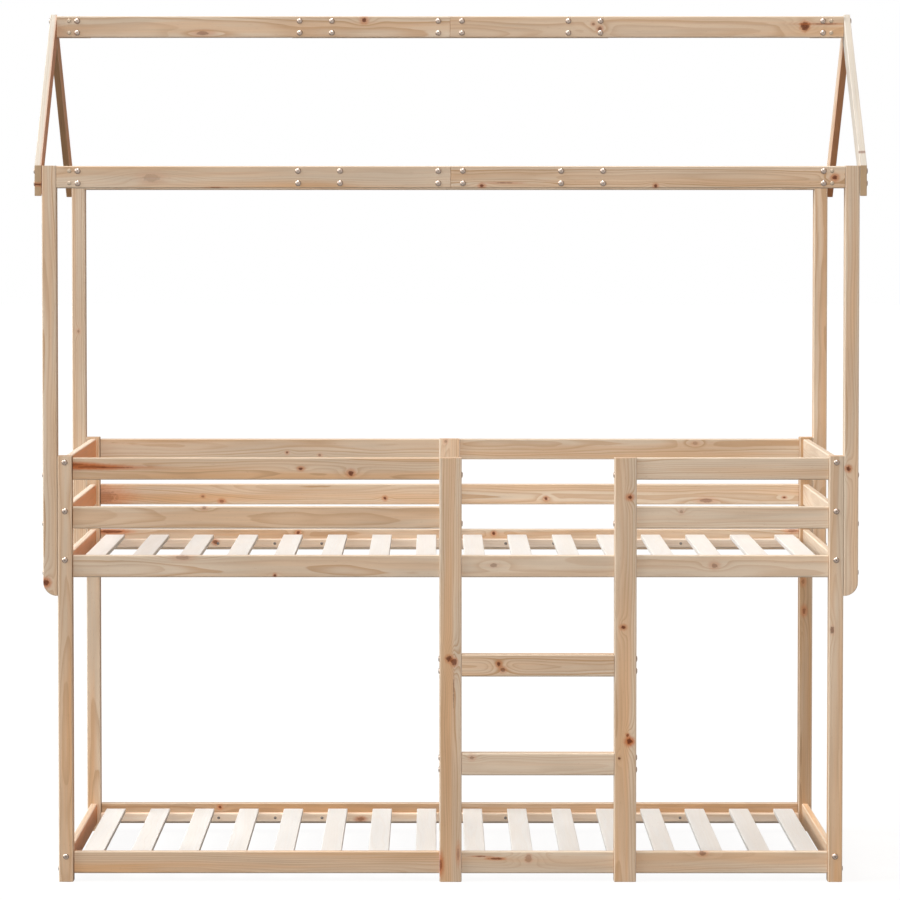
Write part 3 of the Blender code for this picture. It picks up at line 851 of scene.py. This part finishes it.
def board(node, low, high, grain, through, knots=(), outlines=None, wood=PINE):
    """Saw the board that fills a box and let it stand for its node."""
    axes = grain_axes(AXES[grain], AXES[through])
    middle = (low + high) / 2
    length, thickness, width = (abs(side) for side in axes.to_3x3().transposed() @ (high - low))
    into_board = (Matrix.Translation(middle) @ axes).inverted()
    placed = []
    for mark in knots:
        centre = into_board @ Vector((mark.x, low.y, mark.z))
        centre.y = 0
        placed.append((centre, mark))
    shape = bmesh.new()
    saw(shape, axes, thickness, width, outlines or plain_outlines(length), cut_for(node))
    piece = plane(shape, f"{node}_board", material_for(node, wood, placed), middle)
    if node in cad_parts:
        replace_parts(piece, node)
    return piece


print("values on each point:", len(VECTOR_LAYERS + NUMBER_LAYERS))

# %% [markdown]
# ## Posts
#
# Four short posts carry the rails, two wide ones carry the ladder, one stands in
# the middle of the back, and four tall ones are bolted outside the corners to
# hold up the roof. The tall posts end above the floor in a rounded heel, drawn
# here with outlines that follow a quarter of a circle. Their knots are where the
# photograph shows them. The long streak under the left ladder post's knots and
# the red one at its foot are branches that were sawn lengthwise.

# %% Posts
HEEL_RADIUS = 0.036
HEEL_STEPS = 8

POST_KNOTS = {
    "rear_centre_post": [Knot(-0.011, 1.109, 0.0042, 1.2, 0.45)],
    "ladder_post_left": [
        Knot(-0.003, 0.588, 0.0088, 0.9, 1.0, 0.6, 2.0),
        Knot(0.009, 0.579, 0.0076, 1.1, 0.9, 0.6, 2.2),
        Knot(0.008, 0.5, 0.0026, 24.0, 0.55, 0.3, 2.0),
        Knot(-0.0262, 0.046, 0.0044, 3.6, 0.6, 1.4, 3.2),
        Knot(0.02, 0.074, 0.0036, 5.0, 0.35, 1.2, 2.8),
    ],
    "ladder_post_right": [
        Knot(0.469, 1.012, 0.0055, 0.8, 1.0, 0.75, 3.4),
        Knot(0.452, 0.671, 0.0056, 0.8, 1.0, 0.65, 2.8),
        Knot(0.469, 0.371, 0.0072, 1.0, 1.0, 1.0, 2.8),
        Knot(0.464, 0.387, 0.004, 1.0, 0.8, 0.9, 2.2),
        Knot(0.442, 0.326, 0.004, 1.0, 1.0, 0.2, 2.0),
    ],
    "roof_post_front_left": [Knot(-1.059, 0.788, 0.0084, 1.0, 1.0, 0.8, 2.6)],
    "roof_post_front_right": [Knot(1.039, 1.087, 0.006, 1.0, 1.0, 0.7, 2.6)],
    "roof_post_rear_left": [Knot(-1.049, 1.42, 0.0042, 1.0, 0.45)],
    "corner_post_front_right": [Knot(0.999, 0.664, 0.0052, 1.8, 0.75, 0.3, 2.2)],
    "corner_post_rear_right": [
        Knot(1.001, 0.711, 0.0045, 1.6, 0.45, 0.9, 3.2),
        Knot(1.004, 0.628, 0.005, 1.8, 0.6, 0.9, 3.0),
    ],
}


def heel_outlines(length):
    """Outlines of a post whose lower end is a quarter circle on one side."""
    outlines = []
    for step in range(HEEL_STEPS + 1):
        angle = step / HEEL_STEPS * math.pi / 2
        up = HEEL_RADIUS * (1 - math.cos(angle))
        off_top = HEEL_RADIUS * (1 - math.sin(angle))
        outlines.append(Outline(up - length / 2, END_EASE if step == 0 else 0.0, off_top))
    return outlines + plain_outlines(length)[2:]


post_nodes = [node for node in sorted(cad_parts) if "_post" in node]
for node in post_nodes:
    low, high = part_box(node)
    tall = node.startswith("roof_post")
    through = "-y" if tall and node.endswith("right") else "y"
    outlines = heel_outlines(high.z - low.z) if tall else None
    board(node, low, high, "z", through, POST_KNOTS.get(node, ()), outlines)
print("posts:", len(post_nodes))

# %% [markdown]
# ## Rails and steps
#
# Every rail is the same planed board, cut to the gap between two posts. The
# packed rails hold their bolts, so their boxes are too long: the length comes
# from the faces of the posts instead, with the same hair's breadth of play. The
# long red streak at the left end of the top guard rail is a branch as well.

# %% Rails and steps
PLAY = 0.0003
OPEN_JOINT = 0.0010
LEFT_CORNERS = ("corner_post_front_left", "corner_post_rear_left")
BOARD_THICKNESS = 0.018

RAIL_KNOTS = {
    "front_top_rail_left": [
        Knot(-0.978, 1.0945, 0.0046, 7.0, 1.0, 0.9, 3.0),
        Knot(-0.935, 1.0905, 0.0034, 12.0, 1.0, 0.85, 3.6),
        Knot(-0.88, 1.089, 0.0022, 24.0, 0.6, 0.8, 4.0),
        Knot(-0.392, 1.086, 0.0035, 1.6),
        Knot(-0.261, 1.0745, 0.0062, 1.1),
    ],
    "front_guard_rail_left": [Knot(-0.645, 0.983, 0.0045, 1.2, 0.45)],
    "front_guard_rail_right": [Knot(0.604, 0.974, 0.0045, 1.0, 0.4)],
    "front_upper_rail_left": [
        Knot(-0.46, 0.8065, 0.0032),
        Knot(-0.701, 0.853, 0.006, 3.0, 0.35),
    ],
    "front_upper_rail_middle": [Knot(0.113, 0.833, 0.0055, 1.5, 0.5, 0.25, 2.0)],
    "front_upper_rail_right": [Knot(0.691, 0.832, 0.006, 1.3, 0.5, 0.6, 3.0)],
    "front_lower_rail_middle": [
        Knot(0.119, 0.06, 0.0026, 7.0, 0.9, 0.8, 2.4),
        Knot(0.079, 0.066, 0.0016, 12.0, 0.7, 0.8, 2.4),
        Knot(0.205, 0.06, 0.01, 0.9, 0.35, 0.9, 1.7),
    ],
    "front_lower_rail_right": [Knot(0.662, 0.074, 0.0055, 1.6, 0.6, 0.6, 2.8)],
    "rear_top_rail_left": [
        Knot(-0.46, 1.0765, 0.0036, 1.0, 0.9, 0.4),
        Knot(-0.367, 1.069, 0.0034, 1.4, 0.6, 0.4),
    ],
    "rear_top_rail_right": [Knot(0.695, 1.103, 0.0055, 1.3, 0.3)],
    "rear_guard_rail_left": [
        # A wide red stain at the left end, the wood's own colour and also painted shade from the
        # corner
        Knot(-1.0, 0.95, 0.02, 3.0, 0.35, 1.5, 2.6),
        Knot(-0.699, 0.952, 0.0036, 1.2, 0.6),
        Knot(-0.645, 0.9385, 0.0042, 1.5, 0.6, 1.0),
        Knot(-0.183, 0.9465, 0.0044),
    ],
    "rear_guard_rail_right": [
        Knot(0.273, 0.946, 0.0045),
        Knot(0.727, 0.94, 0.006, 3.0, 0.5),
        Knot(0.948, 0.949, 0.0026, 1.6),
    ],
    "rear_upper_rail_left": [
        Knot(-0.958, 0.852, 0.0042, 7.0, 0.85, 0.9, 3.0),
        Knot(-0.429, 0.849, 0.0045),
    ],
    "rear_upper_rail_right": [
        Knot(0.125, 0.847, 0.0045),
        Knot(0.97, 0.855, 0.0045, 3.0, 0.45, 1.0),
    ],
    "rear_lower_rail_left": [Knot(-0.652, 0.067, 0.0045)],
    "ladder_step_2": [
        Knot(0.126, 0.5745, 0.0056, 0.9, 1.0, 0.6, 2.6),
        Knot(0.137, 0.559, 0.0058, 1.2, 0.7, 0.6, 2.4),
    ],
    "ladder_step_1": [Knot(0.056, 0.328, 0.005, 1.2, 0.45)],
}

RAIL_ENDS = {
    "front_left": ("corner_post_front_left", "ladder_post_left"),
    "front_middle": ("ladder_post_left", "ladder_post_right"),
    "front_right": ("ladder_post_right", "corner_post_front_right"),
    "rear_left": ("corner_post_rear_left", "rear_centre_post"),
    "rear_right": ("rear_centre_post", "corner_post_rear_right"),
}


def faces_between(first, second, axis):
    """The gap between two posts along one axis, less the play at both ends.

    At the left end of the bed the joints aren't pulled quite tight, and the
    photograph shows a dark line in them.
    """
    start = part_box(first)[1][axis] + PLAY
    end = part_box(second)[0][axis] - PLAY
    if axis == 0 and first in LEFT_CORNERS:
        start += OPEN_JOINT
    if axis == 1 and second in LEFT_CORNERS:
        end -= OPEN_JOINT
    return start, end


rail_count = 0
for node in sorted(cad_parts):
    words = node.split("_")
    wood, axis, through = PINE, 0, "y"
    if node.startswith("ladder_step"):
        ends = RAIL_ENDS["front_middle"]
    elif node.endswith("_end_rail"):
        ends = (f"corner_post_front_{words[0]}", f"corner_post_rear_{words[0]}")
        wood, axis, through = SAPWOOD if words[0] == "left" else PINE, 1, "x"
    elif "_rail_" in node and words[0] in ("front", "rear"):
        ends = RAIL_ENDS[f"{words[0]}_{words[-1]}"]
    else:
        continue
    low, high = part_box(node)
    low[axis], high[axis] = faces_between(*ends, axis)
    board(node, low, high, "xy"[axis], through, RAIL_KNOTS.get(node, ()), wood=wood)
    rail_count += 1
print("rails and steps:", rail_count)

# %% [markdown]
# ## Ridge and eaves
#
# The ridge and the eave rails are two halves that meet in the middle, each pair
# held by a short board behind the seam. Blocks of the same board fill the corner
# behind each end. All are plain boards along the bed, so one helper saws them
# from the three ranges that they fill.

# %% Ridge and eaves
ROOF_KNOTS = {
    "eave_rail_front_left": [
        Knot(-0.611, 1.8195, 0.0018, 11.0, 0.9),
        Knot(-0.78, 1.846, 0.01, 2.2, 0.25),
    ],
    "eave_rail_front_right": [
        Knot(0.081, 1.8255, 0.0042, 1.4),
        Knot(0.14, 1.833, 0.0016, 18.0, 0.7),
        Knot(0.534, 1.8255, 0.0042),
        Knot(1.001, 1.847, 0.0058, 1.1, 1.0, 0.7, 2.8),
    ],
    "ridge_board_left": [
        Knot(-0.233, 2.2765, 0.0062),
        Knot(-0.67, 2.241, 0.005, 3.5, 0.5),
    ],
    "ridge_board_right": [
        Knot(0.388, 2.266, 0.004, 1.0, 0.6),
        Knot(0.405, 2.253, 0.0055, 1.0, 0.8),
        Knot(0.961, 2.26, 0.0112, 0.95, 1.0, 0.7, 1.9),
        Knot(1.01, 2.266, 0.0016, 26.0, 0.8, 0.6, 3.0),
    ],
}

SIDES = {"left": -1, "right": 1}
FACES = {"front": -1, "rear": 1}
BLOCK_LENGTH = 0.090
EAVE_SPLICE_LENGTH = 0.840
RIDGE_SPLICE_LENGTH = 0.860
EAVE_END_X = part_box("roof_post_front_right")[0].x - PLAY
RIDGE_END_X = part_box("rafter_front_right")[0].x - PLAY
EAVE_FACE_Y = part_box("roof_post_front_right")[0].y
EAVE_BACK_Y = EAVE_FACE_Y + BOARD_THICKNESS
EAVE_Z = tuple(corner.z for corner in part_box("eave_rail_front_left"))
RIDGE_Z = tuple(corner.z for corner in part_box("ridge_board_left"))
RIDGE_BACK = PLAY + BOARD_THICKNESS


def beam(node, x, y, z, stands_for=None):
    """A board along the bed from three ranges, each given either way round."""
    low, high = zip(*(sorted(pair) for pair in (x, y, z)))
    piece = board(node, Vector(low), Vector(high), "x", "y", ROOF_KNOTS.get(node, ()))
    if stands_for:
        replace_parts(piece, stands_for)


def splice(name, length, y, z):
    """The short board behind a seam."""
    beam(name, (-length / 2, length / 2), y, z)


for side, sign in SIDES.items():
    node = f"ridge_board_{side}"
    end = sign * RIDGE_END_X
    beam(node, (sign * PLAY / 2, end), (-BOARD_THICKNESS, 0), RIDGE_Z)
    block_x = (end - sign * BLOCK_LENGTH, end)
    beam(f"ridge_block_{side}", block_x, (PLAY, RIDGE_BACK), RIDGE_Z, stands_for=node)
splice("ridge_splice", RIDGE_SPLICE_LENGTH, (PLAY, RIDGE_BACK), RIDGE_Z)

for face, outward in FACES.items():
    rail_y = (-outward * EAVE_FACE_Y, -outward * EAVE_BACK_Y)
    back = -outward * (EAVE_BACK_Y + PLAY)
    splice_y = (back, back - outward * BOARD_THICKNESS)
    post_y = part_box(f"roof_post_{face}_left")[0 if face == "rear" else 1].y
    for side, sign in SIDES.items():
        end = sign * EAVE_END_X
        beam(f"eave_rail_{face}_{side}", (sign * PLAY / 2, end), rail_y, EAVE_Z)
        block_x = (end - sign * BLOCK_LENGTH, end)
        beam(f"eave_block_{face}_{side}", block_x, (back, post_y), EAVE_Z)
    splice(f"eave_splice_{face}", EAVE_SPLICE_LENGTH, splice_y, EAVE_Z)
print("eave height", round(EAVE_Z[1], 4), "ridge height", round(RIDGE_Z[1], 4))

# %% [markdown]
# ## Rafters
#
# The rafters stand on edge outside the tall posts, and are cut plumb at the eave
# and at the peak. A board with outlines that lean has such ends. The picture
# shows little more of them than their narrow planed edges, so their arrises are
# sharper than those of the other boards.

# %% Rafters
RAFTER_WIDTH = 0.058
RAFTER_EDGE = 0.0015
SLOPE_ROUNDS = 40
# The Y of each knot comes first, because the wide faces of a rafter look sideways
RAFTER_KNOTS = {
    "rafter_front_left": [(-0.430, Knot(-1.078, 1.829, 0.0032))],
    "rafter_front_right": [(-0.392, Knot(1.072, 1.914, 0.003, 1.6, 0.6, 0.2, 2.0))],
}

for face, outward in FACES.items():
    for side, sign in SIDES.items():
        node = f"rafter_{face}_{side}"
        low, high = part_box(node)
        middle, size = (low + high) / 2, high - low
        # The box is as tall as the climb and one plumb cut: solve for the slope
        slope = 0.0
        for _ in range(SLOPE_ROUNDS):
            slope = (size.z - RAFTER_WIDTH * math.hypot(1, slope)) / size.y
        climb = Vector((0, -outward, slope)).normalized()
        axes = grain_axes(climb, (-sign, 0, 0))
        outlines = plain_outlines(size.y * math.hypot(1, slope))
        for outline in outlines:
            outline.lean = -sign * outward * slope
        into_board = (Matrix.Translation(middle) @ axes).inverted()
        knots = RAFTER_KNOTS.get(node, ())
        placed = [(into_board @ Vector((mark.x, y, mark.z)), mark) for y, mark in knots]
        # The front rafters' nearly white wood paints the light on their upward faces
        material = material_for(node, FRONT_RAFTER_LIT_WOOD if face == "front" else PINE, placed)
        shape = bmesh.new()
        saw(shape, axes, size.x, RAFTER_WIDTH, outlines, cut_for(node), RAFTER_EDGE)
        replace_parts(plane(shape, f"{node}_board", material, middle), node)
print("rafter slope", round(math.degrees(math.atan(slope)), 2), "degrees")

# %% [markdown]
# ## Slats and ledgers
#
# A mattress lies on thin pale slats. They rest on square battens, the ledgers,
# which are screwed to the inside of the side rails. The slats look alike but none
# is a copy: each is sawn from its own place in the trunk. Those of half a deck
# share one mesh, because they share one material and never move apart. They are
# planed smooth, so their rings show only half as plainly.

# %% Slats and ledgers
SLATS_PER_HALF = 8
SLAT_WIDTH = 0.055
SLAT_THICKNESS = 0.012
SLAT_LENGTH = 0.778
FIRST_SLAT_X = 0.0648
LAST_SLAT_X = 0.9461
SLAT_EDGE = 0.0022
SLAT_PITH_DISTANCE = (0.02, 0.07)
SLAT_FIGURE = 0.5
# Painted light on the slats of each deck, the lower ones lying under the upper deck
SLAT_PAINTED_LIGHT = {"lower": 1.0, "upper": 1.01}
LEDGER_SIDE = 0.025
RAIL_INNER_Y = 0.400
LEDGER_KNOTS = {
    "upper_ledger_rear_left": [Knot(-0.662, 0.824, 0.005, 1.3, 0.7, 1.0, 2.6)],
    "lower_ledger_rear_left": [Knot(-0.252, 0.037, 0.0046, 2.2, 0.45, 1.6, 2.8)],
}

pitch = (LAST_SLAT_X - FIRST_SLAT_X) / (SLATS_PER_HALF - 1)
slat_axes = grain_axes(AXES["y"], AXES["z"])
slat_outlines = plain_outlines(SLAT_LENGTH)
for level, light in SLAT_PAINTED_LIGHT.items():
    for side, sign in SIDES.items():
        node = f"{level}_slat_deck_{side}"
        low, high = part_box(node)
        shape = bmesh.new()
        for index in range(SLATS_PER_HALF):
            x = sign * (FIRST_SLAT_X + pitch * index)
            place = Matrix.Translation((x, 0, high.z - SLAT_THICKNESS / 2)) @ slat_axes
            cut = cut_for(f"{node}_{index}", SLAT_PITH_DISTANCE)
            cut.figure, cut.light = SLAT_FIGURE, light
            saw(shape, place, SLAT_THICKNESS, SLAT_WIDTH, slat_outlines, cut, SLAT_EDGE)
        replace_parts(plane(shape, f"{level}_slats_{side}", PLAIN_SLAT), node)
    for bay, posts in RAIL_ENDS.items():
        outward = FACES[bay.split("_")[0]]
        start, end = faces_between(*posts, 0)
        front, rear = sorted(outward * (RAIL_INNER_Y - depth) for depth in (LEDGER_SIDE, PLAY))
        name = f"{level}_ledger_{bay}"
        corners = Vector((start, front, low.z)), Vector((end, rear, low.z + LEDGER_SIDE))
        board(name, *corners, "x", "y", LEDGER_KNOTS.get(name, ()), wood=SAPWOOD)
print("slats:", 4 * SLATS_PER_HALF, "every", round(pitch * 1000, 1), "mm")

# %% [markdown]
# ## Steel
#
# The bolts have low domed heads with a six-sided socket for a key. Bright
# plating is metal all over, so what the eye reads is how it mirrors the room:
# fine turning marks and a little handling dirt keep the mirror from looking like
# plastic. One group draws both, and bolts, screws and nuts take it with their
# own colours. A dark brown in the socket and round the rim is painted shade and a
# painted reflection of the wood round the head, and it draws the edges of a head,
# which is small in the picture.

# %% The metal group and materials
# Dark brown painted at a head's rim and in its socket: painted shade and a painted reflection of
# the wood
PAINTED_SHADE_BROWN = srgb(84, 64, 52)

handled, handled_in, handled_out = new_group(
    "Handled metal", {"Position": None}, ["Scratch", "Dirt"]
)
dirt = handled.noise(handled_in["Position"], (420.0, 420.0, 420.0), 3.0)
handled.feed(
    handled_out,
    {
        "Scratch": handled.noise(handled_in["Position"], (2600.0, 700.0, 2600.0)),
        "Dirt": handled.ramp(dirt, 0.45, 0.80),
    },
)


def metal(name, bright, dull, smooth, rough, painted_shade, metallic=1.0):
    """Steel between two colours and roughnesses, with painted shade in its rim and socket."""
    material, graph, surface = new_material(name)
    place = graph.add("TexCoord", {}, "Object")
    wear = graph.group(handled.tree, {"Position": place})
    colour = graph.mix(wear["Dirt"], bright, dull)
    bump = {"Strength": 0.12, "Distance": 0.0001, "Height": wear["Scratch"]}
    graph.feed(
        surface,
        {
            # Painted shade and reflection at the rim and in the socket
            "Base Color": graph.cover(colour, graph.attribute("rim"), painted_shade, PAINTED_SHADE_BROWN),
            "Roughness": graph.ramp(wear["Scratch"], 0.3, 0.7, smooth, rough),
            "Normal": graph.add("Bump", bump),
            "Metallic": metallic,
        },
    )
    return material


BOLT_STEEL = metal("plated_bolts", srgb(226, 208, 194), srgb(186, 166, 150), 0.18, 0.32, 0.60)
NUT_STEEL = metal("barrel_nuts", srgb(240, 222, 198), srgb(212, 186, 154), 0.26, 0.42, 0.55, 0.8)
SCREW_STEEL = metal("ledger_screws", srgb(190, 184, 178), srgb(140, 132, 124), 0.28, 0.45, 0.60)
print("metals:", BOLT_STEEL.name, NUT_STEEL.name, SCREW_STEEL.name)

# %% [markdown]
# ## Heads turned on a lathe
#
# A head is a profile spun about its axis. In its top sits a recess that isn't
# round: six flats for a hexagon key, a cross for a screwdriver, or a slot. Every
# ring of the head has the same number of points, so the last ring can simply
# follow the outline of the recess, and the dome closes on it without a seam.

# %% The lathe
HEAD_STEPS = 24
KEY_HALF_WIDTH = 0.0021
ARM_DEGREES = 30
RECESS_DRAFT = 0.94
SHARP_FROM = math.radians(50)
# How much painted shade and reflection each ring of a head takes, rim first, then the socket
RIM_PAINTED_SHADE = (0.8, 0.8, 0.8, 0.3, 0.0, 0.0)
RECESS_PAINTED_SHADE = (0.0, 0.8)


def hexagon(degrees):
    return KEY_HALF_WIDTH / math.cos(math.radians((degrees + 30) % 60 - 30))


def arms(every, reach, waist):
    """A recess with an arm at every so many degrees."""
    return lambda degrees: reach if (degrees + ARM_DEGREES / 2) % every <= ARM_DEGREES else waist


@dataclass
class Head:
    """A profile of (radius, height) points, and the recess in its top."""
    profile: tuple
    recess: object
    floor: float


BOLT_RIM = (0.0080, 0.0), (0.0080, 0.0005), (0.0076, 0.0012)
BOLT_DOME = (0.0067, 0.0020), (0.0053, 0.0027), (0.0036, 0.0030)
SCREW_DOME = (0.0040, 0.0), (0.0038, 0.0006), (0.0030, 0.0011)
NUT_DOME = (0.0056, 0.0), (0.0055, 0.0004), (0.0050, 0.0007)
BOLT_HEAD = Head(BOLT_RIM + BOLT_DOME, hexagon, 0.0012)
SCREW_HEAD = Head(SCREW_DOME, arms(90, 0.0021, 0.0007), 0.0004)
NUT_FACE = Head(NUT_DOME, arms(180, 0.0036, 0.0009), 0.0001)


def turn_head(shape, head, seat, outward, twist):
    """Add one head to a bmesh, with its underside on the seat."""
    stand = Vector(outward).to_track_quat("Z", "Y").to_matrix().to_4x4()
    place = Matrix.Translation(seat) @ stand @ Matrix.Rotation(twist, 4, "Z")
    angles = [360 / HEAD_STEPS * step for step in range(HEAD_STEPS)]
    top = head.profile[-1][1]
    hoops = [[(radius, angle, height) for angle in angles] for radius, height in head.profile]
    hoops.append([(head.recess(angle), angle, top) for angle in angles])
    hoops.append([(head.recess(angle) * RECESS_DRAFT, angle, head.floor) for angle in angles])
    rim = layer_of(shape, "rim")
    rows = []
    for painted_shade, hoop in zip(RIM_PAINTED_SHADE[: len(head.profile)] + RECESS_PAINTED_SHADE, hoops):
        row = []
        for radius, angle, height in hoop:
            turn = math.radians(angle)
            point = Vector((radius * math.cos(turn), radius * math.sin(turn), height))
            vert = shape.verts.new(place @ point)
            vert[rim] = painted_shade
            row.append(vert)
        rows.append(row)
    join_hoops(shape, rows)


def add_heads(name, head, seats, material):
    """One piece with a head on each (place, outward direction)."""
    chance = random.Random(name)
    shape = bmesh.new()
    for seat, outward in seats:
        turn_head(shape, head, Vector(seat), outward, chance.uniform(0, math.tau))
    piece = new_piece(shape, name, material)
    piece.data.set_sharp_from_angle(angle=SHARP_FROM)
    return len(seats)


print("a head has", HEAD_STEPS, "points in a ring")

# %% [markdown]
# ## Bolts on the posts and the ladder
#
# Two bolts go through every corner post at each level, one into the end rail and
# one into the long rail. The ladder posts have one at each guard rail and two at
# each step. Their places come from the boards that they hold, as on the real
# bed, so a head never floats beside its post.

# %% Bolts on the posts and the ladder
LEVELS = ("lower", "upper", "guard", "top")
END_RAIL_BOLT_FROM_TOP = 0.012
LONG_RAIL_BOLT_FROM_BOTTOM = 0.0125
STEP_BOLT_SPACING = 0.032

rail_heights = {level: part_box(f"left_{level}_end_rail") for level in LEVELS}
bolt_count = 0
# A box is its low and its high corner, so [sign > 0] picks the one on the outer side
for face, outward in FACES.items():
    for side, sign in SIDES.items():
        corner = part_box(f"corner_post_{face}_{side}")
        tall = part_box(f"roof_post_{face}_{side}")
        middle = (corner[0] + corner[1]) / 2
        face_y = corner[outward > 0].y
        seats = []
        for level in LEVELS:
            low, high = rail_heights[level]
            seats.append(((middle.x, face_y, high.z - END_RAIL_BOLT_FROM_TOP), (0, outward, 0)))
            outer_x = (corner if level == "lower" else tall)[sign > 0].x
            height = low.z + LONG_RAIL_BOLT_FROM_BOTTOM
            seats.append(((outer_x, middle.y, height), (sign, 0, 0)))
        bolt_count += add_heads(f"post_bolts_{face}_{side}", BOLT_HEAD, seats, BOLT_STEEL)

for side, sign in SIDES.items():
    low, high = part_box(f"ladder_post_{side}")
    middle_y = (low.y + high.y) / 2
    gap_x, outer_x = (high.x, low.x) if side == "left" else (low.x, high.x)
    seats = []
    for level in ("guard", "top"):
        height = rail_heights[level][0].z + LONG_RAIL_BOLT_FROM_BOTTOM
        seats.append(((gap_x, middle_y, height), (-sign, 0, 0)))
    for step in (1, 2):
        step_low, step_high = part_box(f"ladder_step_{step}")
        for offset in (-STEP_BOLT_SPACING / 2, STEP_BOLT_SPACING / 2):
            height = (step_low.z + step_high.z) / 2 + offset
            seats.append(((outer_x, middle_y, height), (sign, 0, 0)))
    bolt_count += add_heads(f"ladder_bolts_{side}", BOLT_HEAD, seats, BOLT_STEEL)
print("bolts so far:", bolt_count)

# %% [markdown]
# ## Bolts and nuts of the roof
#
# The rafters have two bolts at the eave and four at the ridge. Short bolts hold
# the boards behind the seams. Near the ends of the ridge and the eaves the round
# face of the cross nut shows, where the long bolt from the gable is caught. All
# of them sit in two rows along a beam, so a few distances place them all.

# %% Bolts and nuts of the roof
BOLT_FROM_EDGE = 0.013
BLOCK_BOLT_FROM_END = 0.056
NUT_FROM_END = 0.034
SEAM_BOLT_OFFSET = 0.032
SPLICE_END_BOLT_INSET = 0.0225
EAVE_INNER_BOLT_OFFSET = 0.288
RIDGE_INNER_BOLT_OFFSET = 0.3205


def bolt_rows(heights):
    return heights[0] + BOLT_FROM_EDGE, heights[1] - BOLT_FROM_EDGE


def seats_on_beam(offsets, heights, face_y, outward):
    """Seats at both signs of each distance from the middle, in two rows."""
    places_x = [sign * offset for offset in offsets for sign in (-1, 1)]
    return [((x, face_y, z), (0, outward, 0)) for x in places_x for z in bolt_rows(heights)]


def beam_bolts(name, inner, splice_length, end_x, *beam_face):
    """Short bolts behind the seam and at both ends, and the faces of the cross nuts."""
    splice_end = splice_length / 2 - SPLICE_END_BOLT_INSET
    offsets = (SEAM_BOLT_OFFSET, inner, splice_end, end_x - BLOCK_BOLT_FROM_END)
    nuts = seats_on_beam((end_x - NUT_FROM_END,), *beam_face)
    add_heads(f"{name}_nuts", NUT_FACE, nuts, NUT_STEEL)
    return add_heads(f"{name}_bolts", BOLT_HEAD, seats_on_beam(offsets, *beam_face), BOLT_STEEL)


ridge = ("ridge", RIDGE_INNER_BOLT_OFFSET, RIDGE_SPLICE_LENGTH, RIDGE_END_X)
bolt_count += beam_bolts(*ridge, RIDGE_Z, -BOARD_THICKNESS, -1)
for face, outward in FACES.items():
    eave = (f"eave_{face}", EAVE_INNER_BOLT_OFFSET, EAVE_SPLICE_LENGTH, EAVE_END_X)
    bolt_count += beam_bolts(*eave, EAVE_Z, -outward * EAVE_FACE_Y, outward)

eave_middle = (EAVE_FACE_Y + EAVE_BACK_Y) / 2
ridge_middles = (-BOARD_THICKNESS / 2, (PLAY + RIDGE_BACK) / 2)
gable_rows = [(y, z) for y in (eave_middle, -eave_middle) for z in bolt_rows(EAVE_Z)]
gable_rows += [(y, z) for y in ridge_middles for z in bolt_rows(RIDGE_Z)]
for side, sign in SIDES.items():
    outer_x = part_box(f"rafter_front_{side}")[sign > 0].x
    seats = [((outer_x, y, z), (sign, 0, 0)) for y, z in gable_rows]
    bolt_count += add_heads(f"gable_bolts_{side}", BOLT_HEAD, seats, BOLT_STEEL)
print("bolts in all:", bolt_count)

# %% [markdown]
# ## Screws in the ledgers
#
# The ledgers are held by small cross-head screws, which show between the slats
# where the photograph has them, two or three to a bay.

# %% Screws in the ledgers
SCREW_SHARES = {"left": (0.349, 0.516, 0.654), "middle": (0.2, 0.8), "right": (0.135, 0.276, 0.650)}
screw_count = 0
for level in SLAT_PAINTED_LIGHT:
    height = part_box(f"{level}_slat_deck_left")[0].z + LEDGER_SIDE / 2
    seats = []
    for bay, posts in RAIL_ENDS.items():
        face, side = bay.split("_")
        start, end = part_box(posts[0])[1].x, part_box(posts[1])[0].x
        y = FACES[face] * (RAIL_INNER_Y - LEDGER_SIDE)
        for share in SCREW_SHARES[side]:
            seats.append(((start + share * (end - start), y, height), (0, -FACES[face], 0)))
    screw_count += add_heads(f"{level}_ledger_screws", SCREW_HEAD, seats, SCREW_STEEL)
print("ledger screws:", screw_count)
